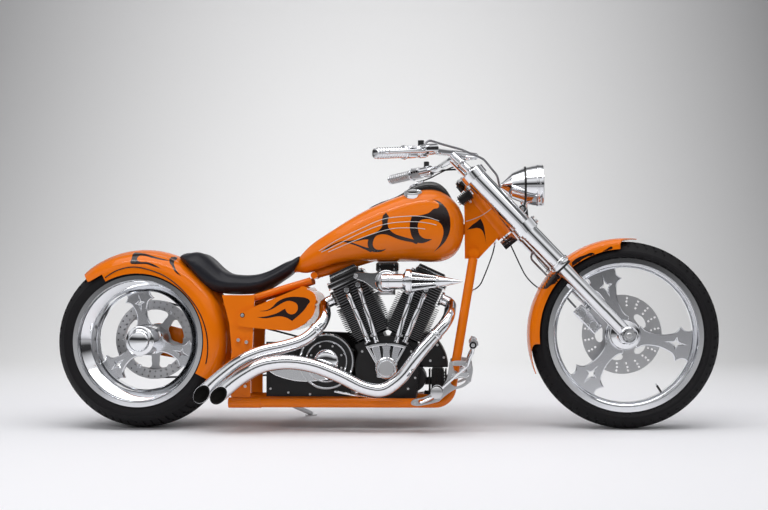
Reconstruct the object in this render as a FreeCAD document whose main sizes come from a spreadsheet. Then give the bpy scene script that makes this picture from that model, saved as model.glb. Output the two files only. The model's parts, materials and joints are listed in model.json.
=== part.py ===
import FreeCAD, Part
import math
import os
import Sketcher
from FreeCAD import Placement, Rotation, Vector

# Chopper motorcycle, parked on its side stand.
# Bike frame: x forward from the rear axle, y to the left, z up from the ground, all upright.
# Every sub-part is drawn upright and its Placement leans it with the whole machine.

SIZES = {
    "stance": {
        "wheelbase": 1794.0,
        "lean_angle": 2.5,
        "running_gap": 0.05,
        "seat_gap": 0.3,
        "overrun": 20.0,
    },
    "tyres": {
        "front_tyre_radius": 344.0,
        "front_tyre_width": 130.0,
        "front_shoulder_width": 112.0,
        "front_shoulder_drop": 31.0,
        "rear_tyre_radius": 325.0,
        "rear_tyre_width": 242.0,
        "rear_shoulder_width": 218.0,
        "rear_shoulder_drop": 38.0,
    },
    "wheels": {
        "blade_count": 3.0,
        "rim_wall": 6.0,
        "rim_lip": 6.0,
        "bead_drop": 13.0,
        "front_rim_radius": 281.0,
        "front_rim_width": 104.0,
        "front_barrel_radius": 247.0,
        "front_lip_depth": 22.0,
        "front_blade_thickness": 24.0,
        "front_blade_offset": 0.0,
        "front_hub_radius": 58.0,
        "front_hub_width": 124.0,
        "front_wheel_angle": -20.0,
        "front_axle_radius": 12.5,
        "rear_rim_radius": 243.0,
        "rear_rim_width": 236.0,
        "rear_barrel_radius": 190.0,
        "rear_lip_depth": 36.0,
        "rear_blade_thickness": 26.0,
        "rear_blade_offset": 14.0,
        "rear_hub_radius": 60.0,
        "rear_hub_width": 180.0,
        "rear_wheel_angle": -10.0,
        "rear_spindle_radius": 25.0,
    },
    "front brake": {
        "front_disc_radius": 148.0,
        "front_disc_inner_radius": 24.0,
        "front_disc_thickness": 5.0,
        "caliper_width": 44.0,
        "caliper_reach": 46.0,
        "caliper_length": 120.0,
    },
    "drive": {
        "brake_ring_radius": 154.0,
        "brake_ring_band": 38.0,
        "brake_ring_thickness": 6.0,
        "brake_ring_offset": 129.0,
        "rear_pulley_radius": 146.0,
        "front_pulley_radius": 58.0,
        "belt_width": 24.0,
        "belt_thickness": 6.0,
        "belt_offset": 158.0,
        "shaft_distance": 282.0,
        "gearbox_shaft_height": 250.0,
        "pad_gap": 2.0,
        "rear_caliper_angle": -32.0,
        "rear_caliper_sweep": 34.0,
        "rear_caliper_cheek": 14.0,
        "rear_caliper_reach": 24.0,
    },
    "neck": {
        "neck_forward": 1291.0,
        "neck_height": 797.0,
        "rake_angle": 38.0,
        "neck_length": 216.0,
        "neck_radius": 29.0,
        "gusset_width": 50.0,
        "stem_radius": 14.0,
    },
    "frame tubes": {
        "backbone_radius": 19.0,
        "cradle_tube_radius": 17.0,
        "rail_height": 101.0,
        "rail_spread": 130.0,
        "rail_front": 1150.0,
        "rail_rear": 345.0,
        "cradle_top_forward": 1243.0,
        "cradle_top_height": 645.0,
        "cradle_top_spread": 46.0,
        "cradle_bend_radius": 60.0,
        "rail_sleeve_radius": 19.0,
        "rail_sleeve_length": 120.0,
        "seat_rail_radius": 13.0,
        "pivot_plate_thickness": 12.0,
        "pivot_forward": 388.0,
        "pivot_height": 245.0,
        "pivot_tube_radius": 22.0,
        "seat_rail_gather": 44.0,
        "plate_width": 95.0,
        "plate_top": 494.0,
        "bolt_head_radius": 9.0,
        "bolt_head_height": 7.0,
    },
    "swingarm": {
        "arm_offset": 196.0,
        "arm_thickness": 26.0,
        "arm_carrier_radius": 62.0,
        "arm_pivot_radius": 46.0,
        "bracket_hole_radius": 4.0,
        "bracket_hole_depth": 16.0,
        "bracket_hole_rise": 40.0,
    },
    "rear fender": {
        "rear_fender_radius": 343.0,
        "rear_fender_width": 264.0,
        "rear_fender_skirt_radius": 250.0,
        "rear_fender_wall": 3.0,
        "rear_fender_back_angle": 130.0,
        "rear_fender_skirt_angle": 118.0,
        "rear_fender_front_angle": 28.0,
        "rear_fender_corner": 60.0,
        "fender_strut_radius": 9.0,
        "fender_strut_spread": 44.0,
    },
    "front fender": {
        "front_fender_radius": 357.0,
        "front_fender_width": 146.0,
        "front_fender_skirt_radius": 314.0,
        "front_fender_wall": 3.0,
        "front_fender_tip_angle": 82.0,
        "front_fender_tail_angle": 204.0,
        "front_fender_skirt_front_angle": 98.0,
        "front_fender_skirt_rear_angle": 178.0,
        "front_fender_corner": 24.0,
        "front_fender_tip_width": 14.0,
        "fender_boss_radius": 9.0,
    },
    "fork": {
        "fork_spread": 230.0,
        "leg_angle": 43.3,
        "leg_length": 815.0,
        "cover_radius": 38.0,
        "leg_radius": 34.5,
        "slider_radius": 26.5,
        "slider_foot_radius": 24.0,
        "leg_step_length": 350.0,
        "clamp_drop": 134.0,
        "lower_clamp_height": 36.0,
        "top_clamp_rise": 131.0,
        "top_clamp_height": 30.0,
        "clamp_wall": 9.0,
        "hose_radius": 4.0,
        "hose_bend_radius": 60.0,
        "axle_boss_radius": 31.0,
        "axle_boss_width": 48.0,
    },
    "handlebar": {
        "bar_radius": 12.7,
        "riser_radius": 14.0,
        "bar_bend_radius": 80.0,
        "riser_spread": 190.0,
        "bar_apex_forward": 1250.0,
        "riser_top_forward": 1160.0,
        "riser_top_height": 1012.0,
        "grip_end_forward": 908.0,
        "grip_end_height": 972.0,
        "grip_end_spread": 425.0,
        "grip_radius": 17.0,
        "grip_length": 118.0,
        "perch_length": 44.0,
        "perch_radius": 19.0,
        "switch_length": 52.0,
        "mirror_hole_radius": 5.0,
        "mirror_boss_radius": 11.0,
        "mirror_boss_height": 20.0,
        "lever_radius": 6.0,
        "lever_gap": 52.0,
    },
    "headlight": {
        "headlight_ahead": 135.0,
        "headlight_length": 155.0,
        "headlight_height": 899.0,
        "headlight_radius": 77.0,
        "headlight_wall": 3.0,
        "lens_thickness": 6.0,
        "headlight_rim": 12.0,
    },
    "tank": {
        "tank_back": 572.0,
        "tank_front": 1206.0,
        "tank_base": 570.0,
        "tank_crest": 888.0,
        "tank_width": 256.0,
        "tunnel_gap": 8.0,
        "cap_forward": 1020.0,
        "cap_radius": 33.0,
        "cap_height": 14.0,
        "cap_tilt_angle": 24.0,
        "dash_back": 800.0,
        "dash_front": 1190.0,
        "dash_width": 78.0,
        "dash_rise": 34.0,
    },
    "seat": {
        "seat_back": 142.0,
        "seat_front": 594.0,
        "seat_base": 502.0,
        "seat_crest": 656.0,
        "seat_width": 268.0,
    },
    "oil tank": {
        "oil_tank_back": 448.0,
        "oil_tank_front": 662.0,
        "oil_tank_base": 362.0,
        "oil_tank_top": 519.0,
        "oil_tank_width": 272.0,
        "side_cover_back": 384.0,
        "side_cover_thickness": 8.0,
    },
    "engine": {
        "crank_forward": 922.0,
        "crank_height": 226.0,
        "half_vee_angle": 25.0,
        "crankcase_radius": 116.0,
        "crankcase_width": 190.0,
        "cylinder_foot": 125.0,
        "cylinder_length": 152.0,
        "barrel_radius": 54.0,
        "fin_reach": 84.0,
        "fin_thickness": 3.6,
        "fin_pitch": 11.0,
        "head_length": 70.0,
        "head_width": 150.0,
        "head_depth": 176.0,
        "rocker_height": 40.0,
        "cam_cover_depth": 24.0,
        "cam_cap_radius": 37.0,
        "cam_cap_depth": 12.0,
        "pushrod_radius": 11.0,
        "pushrod_offset": 108.0,
        "pushrod_boss_radius": 15.0,
        "intake_radius": 26.0,
        "regulator_size": 96.0,
    },
    "air cleaner": {
        "spike_offset": 176.0,
        "spike_setback": 14.0,
        "spike_barrel_length": 90.0,
        "spike_length": 294.0,
        "spike_height": 539.0,
        "spike_barrel_radius": 28.0,
        "spike_collar_radius": 46.0,
        "spike_cone_radius": 36.0,
        "spike_collar_length": 18.0,
    },
    "gearbox": {
        "gearbox_gap": 132.0,
        "gearbox_length": 312.0,
        "gearbox_base": 122.0,
        "gearbox_top": 338.0,
        "gearbox_width": 196.0,
        "clutch_dome_radius": 45.0,
        "clutch_dome_depth": 30.0,
        "primary_offset": 178.0,
        "primary_depth": 46.0,
        "primary_front_radius": 112.0,
        "primary_rear_radius": 104.0,
    },
    "exhaust": {
        "exhaust_back": 254.0,
        "exhaust_offset": 214.0,
        "exhaust_low": 133.0,
        "exhaust_rise": 267.0,
        "pipe_radius": 21.0,
        "pipe_end_radius": 28.0,
        "pipe_wall": 2.5,
        "pipe_bore_depth": 110.0,
        "slash_angle": 33.0,
    },
    "controls": {
        "control_offset": 166.0,
        "control_thickness": 16.0,
        "peg_forward": 1108.0,
        "peg_height": 149.0,
        "peg_radius": 19.0,
        "peg_length": 110.0,
        "pedal_rod_radius": 6.0,
        "pedal_pad_radius": 12.0,
    },
    "side stand": {
        "stand_pivot_forward": 520.0,
        "stand_pivot_height": 74.0,
        "stand_pivot_spread": 172.0,
        "stand_reach_forward": 70.0,
        "stand_reach_out": 150.0,
        "stand_leg_radius": 9.0,
        "stand_foot_radius": 24.0,
        "stand_foot_thickness": 6.0,
        "stand_pin_radius": 8.0,
        "stand_hub_radius": 17.0,
        "stand_hub_height": 20.0,
    },
}


class Size:
    """A number from the sheet together with the formula that gives it."""

    def __init__(self, value, formula):
        self.value = float(value)
        self.formula = formula

    def combined(self, other, sign, value, flipped=False):
        text = other.formula if isinstance(other, Size) else repr(other)
        pair = (text, self.formula) if flipped else (self.formula, text)
        return Size(value, "(%s %s %s)" % (pair[0], sign, pair[1]))

    def __float__(self):
        return self.value

    def __neg__(self):
        return Size(-self.value, "(-1 * %s)" % self.formula)

    def __add__(self, other):
        return self.combined(other, "+", self.value + float(other))

    def __radd__(self, other):
        return self.combined(other, "+", float(other) + self.value, True)

    def __sub__(self, other):
        return self.combined(other, "-", self.value - float(other))

    def __rsub__(self, other):
        return self.combined(other, "-", float(other) - self.value, True)

    def __mul__(self, other):
        return self.combined(other, "*", self.value * float(other))

    def __rmul__(self, other):
        return self.combined(other, "*", float(other) * self.value, True)

    def __truediv__(self, other):
        return self.combined(other, "/", self.value / float(other))


class Sheet:
    """Each alias of the spreadsheet, read as an attribute."""

    def __init__(self, cells):
        self.cells = cells

    def __getattr__(self, alias):
        return Size(self.cells.get(alias), "sizes." + alias)


doc = FreeCAD.newDocument("chopper")


def make_sheet():
    cells = doc.addObject("Spreadsheet::Sheet", "sizes")
    row = 1
    for group, values in SIZES.items():
        cells.set("A%d" % row, group)
        row += 1
        for alias, value in values.items():
            cells.set("A%d" % row, alias)
            cells.set("B%d" % row, str(value))
            cells.setAlias("B%d" % row, alias)
            row += 1
    doc.recompute()
    return cells


s = Sheet(make_sheet())
made = []


def sine(angle):
    return math.sin(math.radians(float(angle)))


def cosine(angle):
    return math.cos(math.radians(float(angle)))


def at(x, y, z):
    return Vector(float(x), float(y), float(z))


# Axle heights that keep both tyres on the ground once the machine leans
def axle_height(radius, shoulder_width, drop):
    half = shoulder_width.value / 2
    crown = (half * half + drop.value * drop.value) / (2 * drop.value)
    return radius.value - crown + crown / cosine(s.lean_angle)


rear_axle_height = axle_height(s.rear_tyre_radius, s.rear_shoulder_width, s.rear_shoulder_drop)
front_axle_height = axle_height(s.front_tyre_radius, s.front_shoulder_width, s.front_shoulder_drop)
rear_centre = at(0, 0, rear_axle_height)
front_centre = at(s.wheelbase, 0, front_axle_height)
bike_middle = (s.wheelbase.value + s.front_tyre_radius.value - s.rear_tyre_radius.value) / 2
upright = Placement(Vector(-bike_middle, 0, 0), Rotation())
lean_shift = s.grip_end_height.value * sine(s.lean_angle)
parked = Placement(Vector(0, -lean_shift, 0),
                   Rotation(Vector(1, 0, 0), -s.lean_angle.value)).multiply(upright)

# Steering frame: z up along the stem, x forward of it
neck_centre = at(s.neck_forward, 0, s.neck_height)
stem_up = Vector(-sine(s.rake_angle), 0, cosine(s.rake_angle))
stem_forward = Vector(cosine(s.rake_angle), 0, sine(s.rake_angle))
leg_up = Vector(-sine(s.leg_angle), 0, cosine(s.leg_angle))
leg_forward = Vector(cosine(s.leg_angle), 0, sine(s.leg_angle))


def keep(part, label, place=None):
    part.Label = label
    part.Placement = parked.multiply(place) if place else parked
    made.append(part)
    return part


def feature(label, shape):
    if shape.ShapeType == "Compound" and len(shape.Solids) == 1:
        shape = shape.Solids[0]
    part = doc.addObject("Part::Feature", label)
    part.Shape = shape
    return keep(part, label)


def origin_plane(body, role):
    return [item for item in body.Origin.OriginFeatures if item.Role == role][0]


def arc_radius(start, stop):
    """The radius of the arc whose rise over its chord is the third value of its start."""
    rise = start[2] if float(start[2]) > 0 else start[2] * -1
    wide = stop[0] - start[0]
    tall = stop[1] - start[1]
    return (wide * wide + tall * tall) / (rise * 8) + rise / 2


def outline_on(body, role, points, name):
    """A closed sketch outline. A point is (x, y), or (x, y, rise) where an arc runs to the next."""
    sketch = body.newObject("Sketcher::SketchObject", name)
    sketch.AttachmentSupport = (origin_plane(body, role), [""])
    sketch.MapMode = "FlatFace"
    ends = []
    for index, point in enumerate(points):
        following = points[(index + 1) % len(points)]
        start = at(point[0], point[1], 0)
        stop = at(following[0], following[1], 0)
        if len(point) > 2:
            chord = stop - start
            across = Vector(-chord.y, chord.x, 0).normalize()
            middle = (start + stop) * 0.5 + across * float(point[2])
            swapped = float(point[2]) > 0
            arc = Part.Arc(stop, middle, start) if swapped else Part.Arc(start, middle, stop)
            edge = sketch.addGeometry(arc, False)
        else:
            edge = sketch.addGeometry(Part.LineSegment(start, stop), False)
            swapped = False
        ends.append((edge, 2, 1) if swapped else (edge, 1, 2))
    for index, point in enumerate(points):
        edge, first, last = ends[index]
        after, after_first, _ = ends[(index + 1) % len(points)]
        sketch.addConstraint(Sketcher.Constraint("Coincident", edge, last, after, after_first))
    for index, point in enumerate(points):
        edge, first, last = ends[index]
        for axis, kind, line in ((0, "DistanceX", -2), (1, "DistanceY", -1)):
            value = float(point[axis])
            if abs(value) < 1e-9:
                sketch.addConstraint(Sketcher.Constraint("PointOnObject", edge, first, line))
                continue
            number = sketch.addConstraint(Sketcher.Constraint(kind, edge, first, value))
            if isinstance(point[axis], Size):
                sketch.setExpression("Constraints[%d]" % number, point[axis].formula)
    for index, point in enumerate(points):
        if len(point) > 2:
            radius = arc_radius(point, points[(index + 1) % len(points)])
            number = sketch.addConstraint(Sketcher.Constraint("Radius", ends[index][0], float(radius)))
            if isinstance(radius, Size):
                sketch.setExpression("Constraints[%d]" % number, radius.formula)
    return sketch


def spun(body, kind, name, points, role="YZ_Plane"):
    """A full turn of an outline about its sketch's own horizontal axis."""
    sketch = outline_on(body, role, points, name + "_section")
    turn = body.newObject("PartDesign::" + kind, name)
    turn.Profile = sketch
    turn.ReferenceAxis = (sketch, ["H_Axis"])
    turn.Angle = 360
    body.Tip = turn
    return turn


def padded(body, kind, name, points, length, role="XZ_Plane"):
    """A pad or pocket, even to both sides of its sketch."""
    sketch = outline_on(body, role, points, name + "_outline")
    solid = body.newObject("PartDesign::" + kind, name)
    solid.Profile = sketch
    solid.Midplane = True
    solid.setExpression("Length", length.formula)
    body.Tip = solid
    return solid


def spun_boss(body, name, x, y, radius, length, role="XZ_Plane"):
    """A round pad that stands out from its sketch."""
    sketch = body.newObject("Sketcher::SketchObject", name + "_outline")
    sketch.AttachmentSupport = (origin_plane(body, role), [""])
    sketch.MapMode = "FlatFace"
    ring = sketch.addGeometry(Part.Circle(at(x, y, 0), Vector(0, 0, 1), float(radius)), False)
    for kind, place in (("DistanceX", x), ("DistanceY", y)):
        number = sketch.addConstraint(Sketcher.Constraint(kind, ring, 3, float(place)))
        sketch.setExpression("Constraints[%d]" % number, place.formula)
    number = sketch.addConstraint(Sketcher.Constraint("Radius", ring, float(radius)))
    sketch.setExpression("Constraints[%d]" % number, radius.formula)
    boss = body.newObject("PartDesign::Pad", name)
    boss.Profile = sketch
    boss.setExpression("Length", length.formula)
    return boss


def new_body(label):
    return doc.addObject("PartDesign::Body", label)


def rod(start, stop, radius, stop_radius=None):
    run = stop - start
    if stop_radius is None:
        return Part.makeCylinder(float(radius), run.Length, start, run)
    return Part.makeCone(float(radius), float(stop_radius), run.Length, start, run)


def bent_path(points, radius=None, share=0.45):
    """Straight runs joined by arcs that touch both of them."""
    edges = []
    begin = points[0]
    for index in range(1, len(points) - 1):
        before = points[index - 1] - points[index]
        after = points[index + 1] - points[index]
        half = before.getAngle(after) / 2
        reach = share * min(before.Length, after.Length)
        if radius is not None:
            reach = min(reach, float(radius) / math.tan(half))
        bend = reach * math.tan(half)
        before.normalize()
        after.normalize()
        first = points[index] + before * reach
        last = points[index] + after * reach
        inward = (before + after).normalize()
        middle = points[index] + inward * (bend / math.sin(half) - bend)
        edges.append(Part.LineSegment(begin, first).toShape())
        edges.append(Part.Arc(first, middle, last).toShape())
        begin = last
    edges.append(Part.LineSegment(begin, points[-1]).toShape())
    return Part.Wire(edges)


def bent_tube(points, radius, bend=None, share=0.45):
    path = bent_path(points, bend, share)
    ring = Part.Wire(Part.makeCircle(float(radius), points[0], points[1] - points[0]))
    return path.makePipeShell([ring], True, False, 2)


def prism(points, low, high, axis="y"):
    """A prism over (x, z) points between two y values, over (x, y) between two z, or (y, z) between two x."""
    span = float(high) - float(low)
    if axis == "y":
        corners, run = [at(x, low, z) for x, z in points], at(0, span, 0)
    elif axis == "z":
        corners, run = [at(x, y, low) for x, y in points], at(0, 0, span)
    else:
        corners, run = [at(low, y, z) for y, z in points], at(span, 0, 0)
    return Part.Face(Part.makePolygon(corners + corners[:1])).extrude(run)


def loft(sections):
    """A smooth skin over closed rings of points."""
    wires = []
    for points in sections:
        curve = Part.BSplineCurve()
        curve.interpolate(points, PeriodicFlag=True)
        wires.append(Part.Wire(curve.toShape()))
    return Part.makeLoft(wires, True, False)


def ring_points(x, half_width, low, high, square_share=0.78):
    """A rounded closed ring across the machine at one x."""
    middle = (low + high) / 2
    rise = (high - low) / 2
    shares = [(1, 0), (square_share, square_share), (0, 1), (-square_share, square_share),
              (-1, 0), (-square_share, -square_share), (0, -1), (square_share, -square_share)]
    return [at(x, half_width * across, middle + rise * up) for across, up in shares]


def mirrored(shape):
    return shape.mirror(Vector(0, 0, 0), Vector(0, 1, 0))


def around(centre, angle, radius, y=0):
    """A point at an angle in a wheel's plane, counted from straight ahead upwards."""
    return centre + at(float(radius) * cosine(angle), y, float(radius) * sine(angle))


# Tyres: crown and sidewalls are arcs between the beads
def tyre(label, radius, width, shoulder_width, drop, rim_radius, rim_width, centre):
    bead_radius = rim_radius - s.bead_drop + s.seat_gap
    bead_half = rim_width / 2 - s.rim_lip - s.seat_gap
    belly = (width - shoulder_width) / 2
    body = new_body(label)
    spun(body, "Revolution", label + "_carcass", [
        (-bead_half, bead_radius), (-bead_half, rim_radius + s.seat_gap, belly),
        (-shoulder_width / 2, radius - drop, drop),
        (shoulder_width / 2, radius - drop, belly),
        (bead_half, rim_radius + s.seat_gap), (bead_half, bead_radius),
    ])
    keep(body, label, Placement(centre, Rotation()))


def front_tyre():
    tyre("front_tyre", s.front_tyre_radius, s.front_tyre_width, s.front_shoulder_width,
         s.front_shoulder_drop, s.front_rim_radius, s.front_rim_width, front_centre)


def rear_tyre():
    tyre("rear_tyre", s.rear_tyre_radius, s.rear_tyre_width, s.rear_shoulder_width,
         s.rear_shoulder_drop, s.rear_rim_radius, s.rear_rim_width, rear_centre)


# Wheels: a thin barrel with two lips, pointed blades with a star cut in each, and a turned hub
def rim_section(radius, width, barrel, lip_depth):
    half = width / 2
    seat = radius - s.bead_drop
    return [
        (-half, radius), (-half + s.rim_lip, radius), (-half + s.rim_lip, seat),
        (-half + lip_depth, seat), (-half + lip_depth * 1.5, barrel + s.rim_wall),
        (half - lip_depth * 1.5, barrel + s.rim_wall), (half - lip_depth, seat),
        (half - s.rim_lip, seat), (half - s.rim_lip, radius), (half, radius),
        (half, seat - s.rim_wall), (half - lip_depth, seat - s.rim_wall), (half - lip_depth * 1.6, barrel),
        (-half + lip_depth * 1.6, barrel), (-half + lip_depth, seat - s.rim_wall),
        (-half, seat - s.rim_wall),
    ]


# Half outline of a blade from hub to barrel: along and half width as shares of its length
blade_shares = [
    (0.00, 0.17), (0.22, 0.12), (0.34, 0.20), (0.38, 0.15), (0.50, 0.26), (0.58, 0.42),
    (0.62, 0.30), (0.74, 0.27), (0.80, 0.36), (0.86, 0.52), (0.89, 0.36), (1.00, 0.40),
]


def blade_outline(hub_radius, barrel):
    base = hub_radius * 0.8
    length = barrel + s.rim_wall / 2 - base
    right = [(length * across, base + length * along) for along, across in blade_shares]
    left = [(length * -across, base + length * along) for along, across in reversed(blade_shares)]
    return right + left


def star_outline(middle, reach):
    pinch = reach * -0.2
    return [(reach * -0.62, middle, pinch), (0, middle + reach, pinch),
            (reach * 0.62, middle, pinch), (0, middle - reach, pinch)]


def wheel(label, section, hub_radius, hub_width, barrel, thickness, offset, bore, centre, turn_angle):
    body = new_body(label)
    rim = spun(body, "Revolution", label + "_rim", section)
    blade = padded(body, "Pad", label + "_blade", blade_outline(hub_radius, barrel), thickness)
    blade.Profile[0].setExpression("AttachmentOffset.Base.z", (-offset).formula)
    star_middle = hub_radius + (barrel - hub_radius) * 0.72
    star = padded(body, "Pocket", label + "_star", star_outline(star_middle, (barrel - hub_radius) * 0.17),
                  thickness * 2)
    star.Profile[0].setExpression("AttachmentOffset.Base.z", (-offset).formula)
    ring = body.newObject("PartDesign::PolarPattern", label + "_blades")
    ring.Originals = [blade, star]
    ring.Axis = (rim.Profile[0], ["H_Axis"])
    ring.Angle = 360
    ring.setExpression("Occurrences", s.blade_count.formula)
    body.Tip = ring
    spun(body, "Revolution", label + "_hub", [
        (-hub_width / 2, bore), (-hub_width / 2, hub_radius * 0.62), (offset - thickness * 0.9, hub_radius),
        (offset + thickness * 0.9, hub_radius), (hub_width / 2, hub_radius * 0.62), (hub_width / 2, bore),
    ])
    spun(body, "Groove", label + "_bore", [
        (-hub_width / 2 - s.overrun, 0), (-hub_width / 2 - s.overrun, bore),
        (hub_width / 2 + s.overrun, bore), (hub_width / 2 + s.overrun, 0),
    ])
    keep(body, label, Placement(centre, Rotation(Vector(0, 1, 0), turn_angle)))


def front_wheel():
    section = rim_section(s.front_rim_radius, s.front_rim_width, s.front_barrel_radius, s.front_lip_depth)
    wheel("front_wheel", section, s.front_hub_radius, s.front_hub_width, s.front_barrel_radius,
          s.front_blade_thickness, s.front_blade_offset, s.front_axle_radius + s.running_gap,
          front_centre, s.front_wheel_angle.value)


def rear_wheel():
    section = rim_section(s.rear_rim_radius, s.rear_rim_width, s.rear_barrel_radius, s.rear_lip_depth)
    wheel("rear_wheel", section, s.rear_hub_radius, s.rear_hub_width, s.rear_barrel_radius,
          s.rear_blade_thickness, s.rear_blade_offset, s.rear_spindle_radius + s.running_gap,
          rear_centre, s.rear_wheel_angle.value)


front_disc_seat = s.front_hub_width / 2 + s.seat_gap


def front_disc():
    body = new_body("front_disc")
    low = front_disc_seat
    high = front_disc_seat + s.front_disc_thickness
    spun(body, "Revolution", "front_disc_ring", [
        (low, s.front_disc_inner_radius), (low, s.front_disc_radius),
        (high, s.front_disc_radius), (high, s.front_disc_inner_radius),
    ])
    keep(body, "front_disc", Placement(front_centre, Rotation()))


def rear_pulley():
    body = new_body("rear_pulley")
    half = s.belt_width / 2 + s.belt_thickness / 2
    inner = s.rear_pulley_radius - s.brake_ring_band
    ring_high = s.brake_ring_offset + s.brake_ring_thickness
    seat = s.rear_hub_width / 2 + s.seat_gap
    spun(body, "Revolution", "rear_pulley_ring", [
        (seat, s.rear_spindle_radius + s.running_gap), (seat, s.rear_hub_radius * 0.8),
        (s.brake_ring_offset, inner), (s.brake_ring_offset, s.brake_ring_radius),
        (ring_high, s.brake_ring_radius), (ring_high, inner + s.brake_ring_thickness),
        (s.belt_offset - half, s.rear_pulley_radius - s.belt_thickness * 2),
        (s.belt_offset - half, s.rear_pulley_radius),
        (s.belt_offset + half, s.rear_pulley_radius), (s.belt_offset + half, inner),
        (s.belt_offset, inner), (s.belt_offset, s.rear_hub_radius),
        (s.belt_offset, s.rear_spindle_radius + s.running_gap),
    ])
    keep(body, "rear_pulley", Placement(rear_centre, Rotation()))


# One-sided swingarm on the left, with the spindle that carries the rear wheel
def swingarm():
    low = s.arm_offset.value - s.arm_thickness.value / 2
    high = s.arm_offset.value + s.arm_thickness.value / 2
    pivot = at(s.pivot_forward, 0, s.pivot_height)
    axle = rear_centre
    along = (axle - pivot).normalize()
    across = Vector(along.z, 0, -along.x) * -1
    front = s.arm_pivot_radius.value
    back = s.arm_carrier_radius.value
    corners = [pivot + across * front, axle + across * back, axle - across * back, pivot - across * front]
    arm = prism([(p.x, p.z) for p in corners], low, high)
    for middle, radius in ((pivot, front), (axle, back)):
        arm = arm.fuse(rod(middle + at(0, low, 0), middle + at(0, high, 0), radius))
    reach = float(s.rail_spread) + s.pivot_plate_thickness.value / 2 + s.seat_gap.value
    spindle = rod(axle - at(0, s.rear_hub_width / 2, 0), axle + at(0, high, 0), s.rear_spindle_radius)
    arm = arm.fuse([rod(pivot + at(0, reach, 0), pivot + at(0, low, 0), front * 0.7), spindle])
    arm = arm.removeSplitter()
    for start in bracket_holes():
        arm = arm.cut(rod(start - at(0, s.bracket_hole_depth, 0), start + at(0, s.overrun, 0),
                          s.bracket_hole_radius))
    feature("swingarm", arm)


def bracket_holes():
    """Mouths of the threaded holes for a plate or luggage bracket, above and below the axle."""
    face = s.arm_offset + s.arm_thickness / 2
    return [rear_centre + at(0, face, s.bracket_hole_rise * up) for up in (-1, 1)]


def rear_caliper():
    """Straddles the brake ring under the swingarm and reaches it past the pulley's rim."""
    ring_low = s.brake_ring_offset.value
    gap = s.pad_gap.value
    cheek = s.rear_caliper_cheek.value
    outer = s.brake_ring_radius.value + s.rear_caliper_reach.value
    seat = s.arm_offset.value - s.arm_thickness.value / 2 - s.seat_gap.value
    wedge = []
    for angle in (s.rear_caliper_angle.value, s.rear_caliper_angle.value + s.rear_caliper_sweep.value):
        wedge.append(around(rear_centre, angle, outer * 2))
    fan = prism([(rear_centre.x, rear_centre.z)] + [(p.x, p.z) for p in wedge], ring_low - gap - cheek,
                seat)
    band = rod(rear_centre + at(0, ring_low - gap - cheek, 0), rear_centre + at(0, seat, 0), outer)
    hollow = rod(rear_centre, rear_centre + at(0, s.arm_offset, 0), s.brake_ring_radius - s.brake_ring_band)
    slot = rod(rear_centre + at(0, ring_low - gap, 0), rear_centre + at(0, s.arm_offset, 0),
               s.brake_ring_radius + s.pad_gap)
    feature("rear_caliper", fan.common(band).cut(hollow).cut(slot))


def fender_section(half, outer, corner, inner):
    """A channel's outline across the tyre, crowned across the top."""
    crown = corner * 0.25
    flank = outer - corner - crown
    shoulder = outer - crown
    pinch = corner * 0.293
    edges = [
        Part.LineSegment(at(0, -half, inner), at(0, -half, flank)),
        Part.Arc(at(0, -half, flank), at(0, -half + pinch, shoulder - pinch),
                 at(0, -half + corner, shoulder)),
        Part.Arc(at(0, -half + corner, shoulder), at(0, 0, outer), at(0, half - corner, shoulder)),
        Part.Arc(at(0, half - corner, shoulder), at(0, half - pinch, shoulder - pinch), at(0, half, flank)),
        Part.LineSegment(at(0, half, flank), at(0, half, inner)),
        Part.LineSegment(at(0, half, inner), at(0, -half, inner)),
    ]
    return Part.Face(Part.Wire([edge.toShape() for edge in edges]))


def bent_round(section, centre, start_angle, sweep_angle):
    section.rotate(Vector(0, 0, 0), Vector(0, 1, 0), 90 - start_angle)
    shell = section.revolve(Vector(0, 0, 0), Vector(0, 1, 0), -sweep_angle)
    shell.translate(centre)
    return shell.Solids[0] if shell.Solids else shell


def fender_shell(radius, width, skirt_radius, wall, corner, centre, start_angle, sweep_angle):
    half = width.value / 2
    thick = wall.value
    bend = corner.value
    outside = fender_section(half, radius.value, bend, skirt_radius.value)
    inside = fender_section(half - thick, radius.value - thick, bend - thick,
                            skirt_radius.value - s.overrun.value)
    return bent_round(outside.cut(inside), centre, start_angle, sweep_angle)


def rear_fender_envelope(gap):
    """The room that the rear fender takes, down to its skirts, grown by a gap."""
    low_angle = -s.rear_fender_front_angle.value
    room = float(gap)
    section = fender_section(s.rear_fender_width.value / 2 + room, s.rear_fender_radius.value + room,
                             s.rear_fender_corner.value + room, s.rear_fender_skirt_radius.value * 0.5)
    return bent_round(section, rear_centre, low_angle, s.rear_fender_back_angle.value - low_angle)


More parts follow.
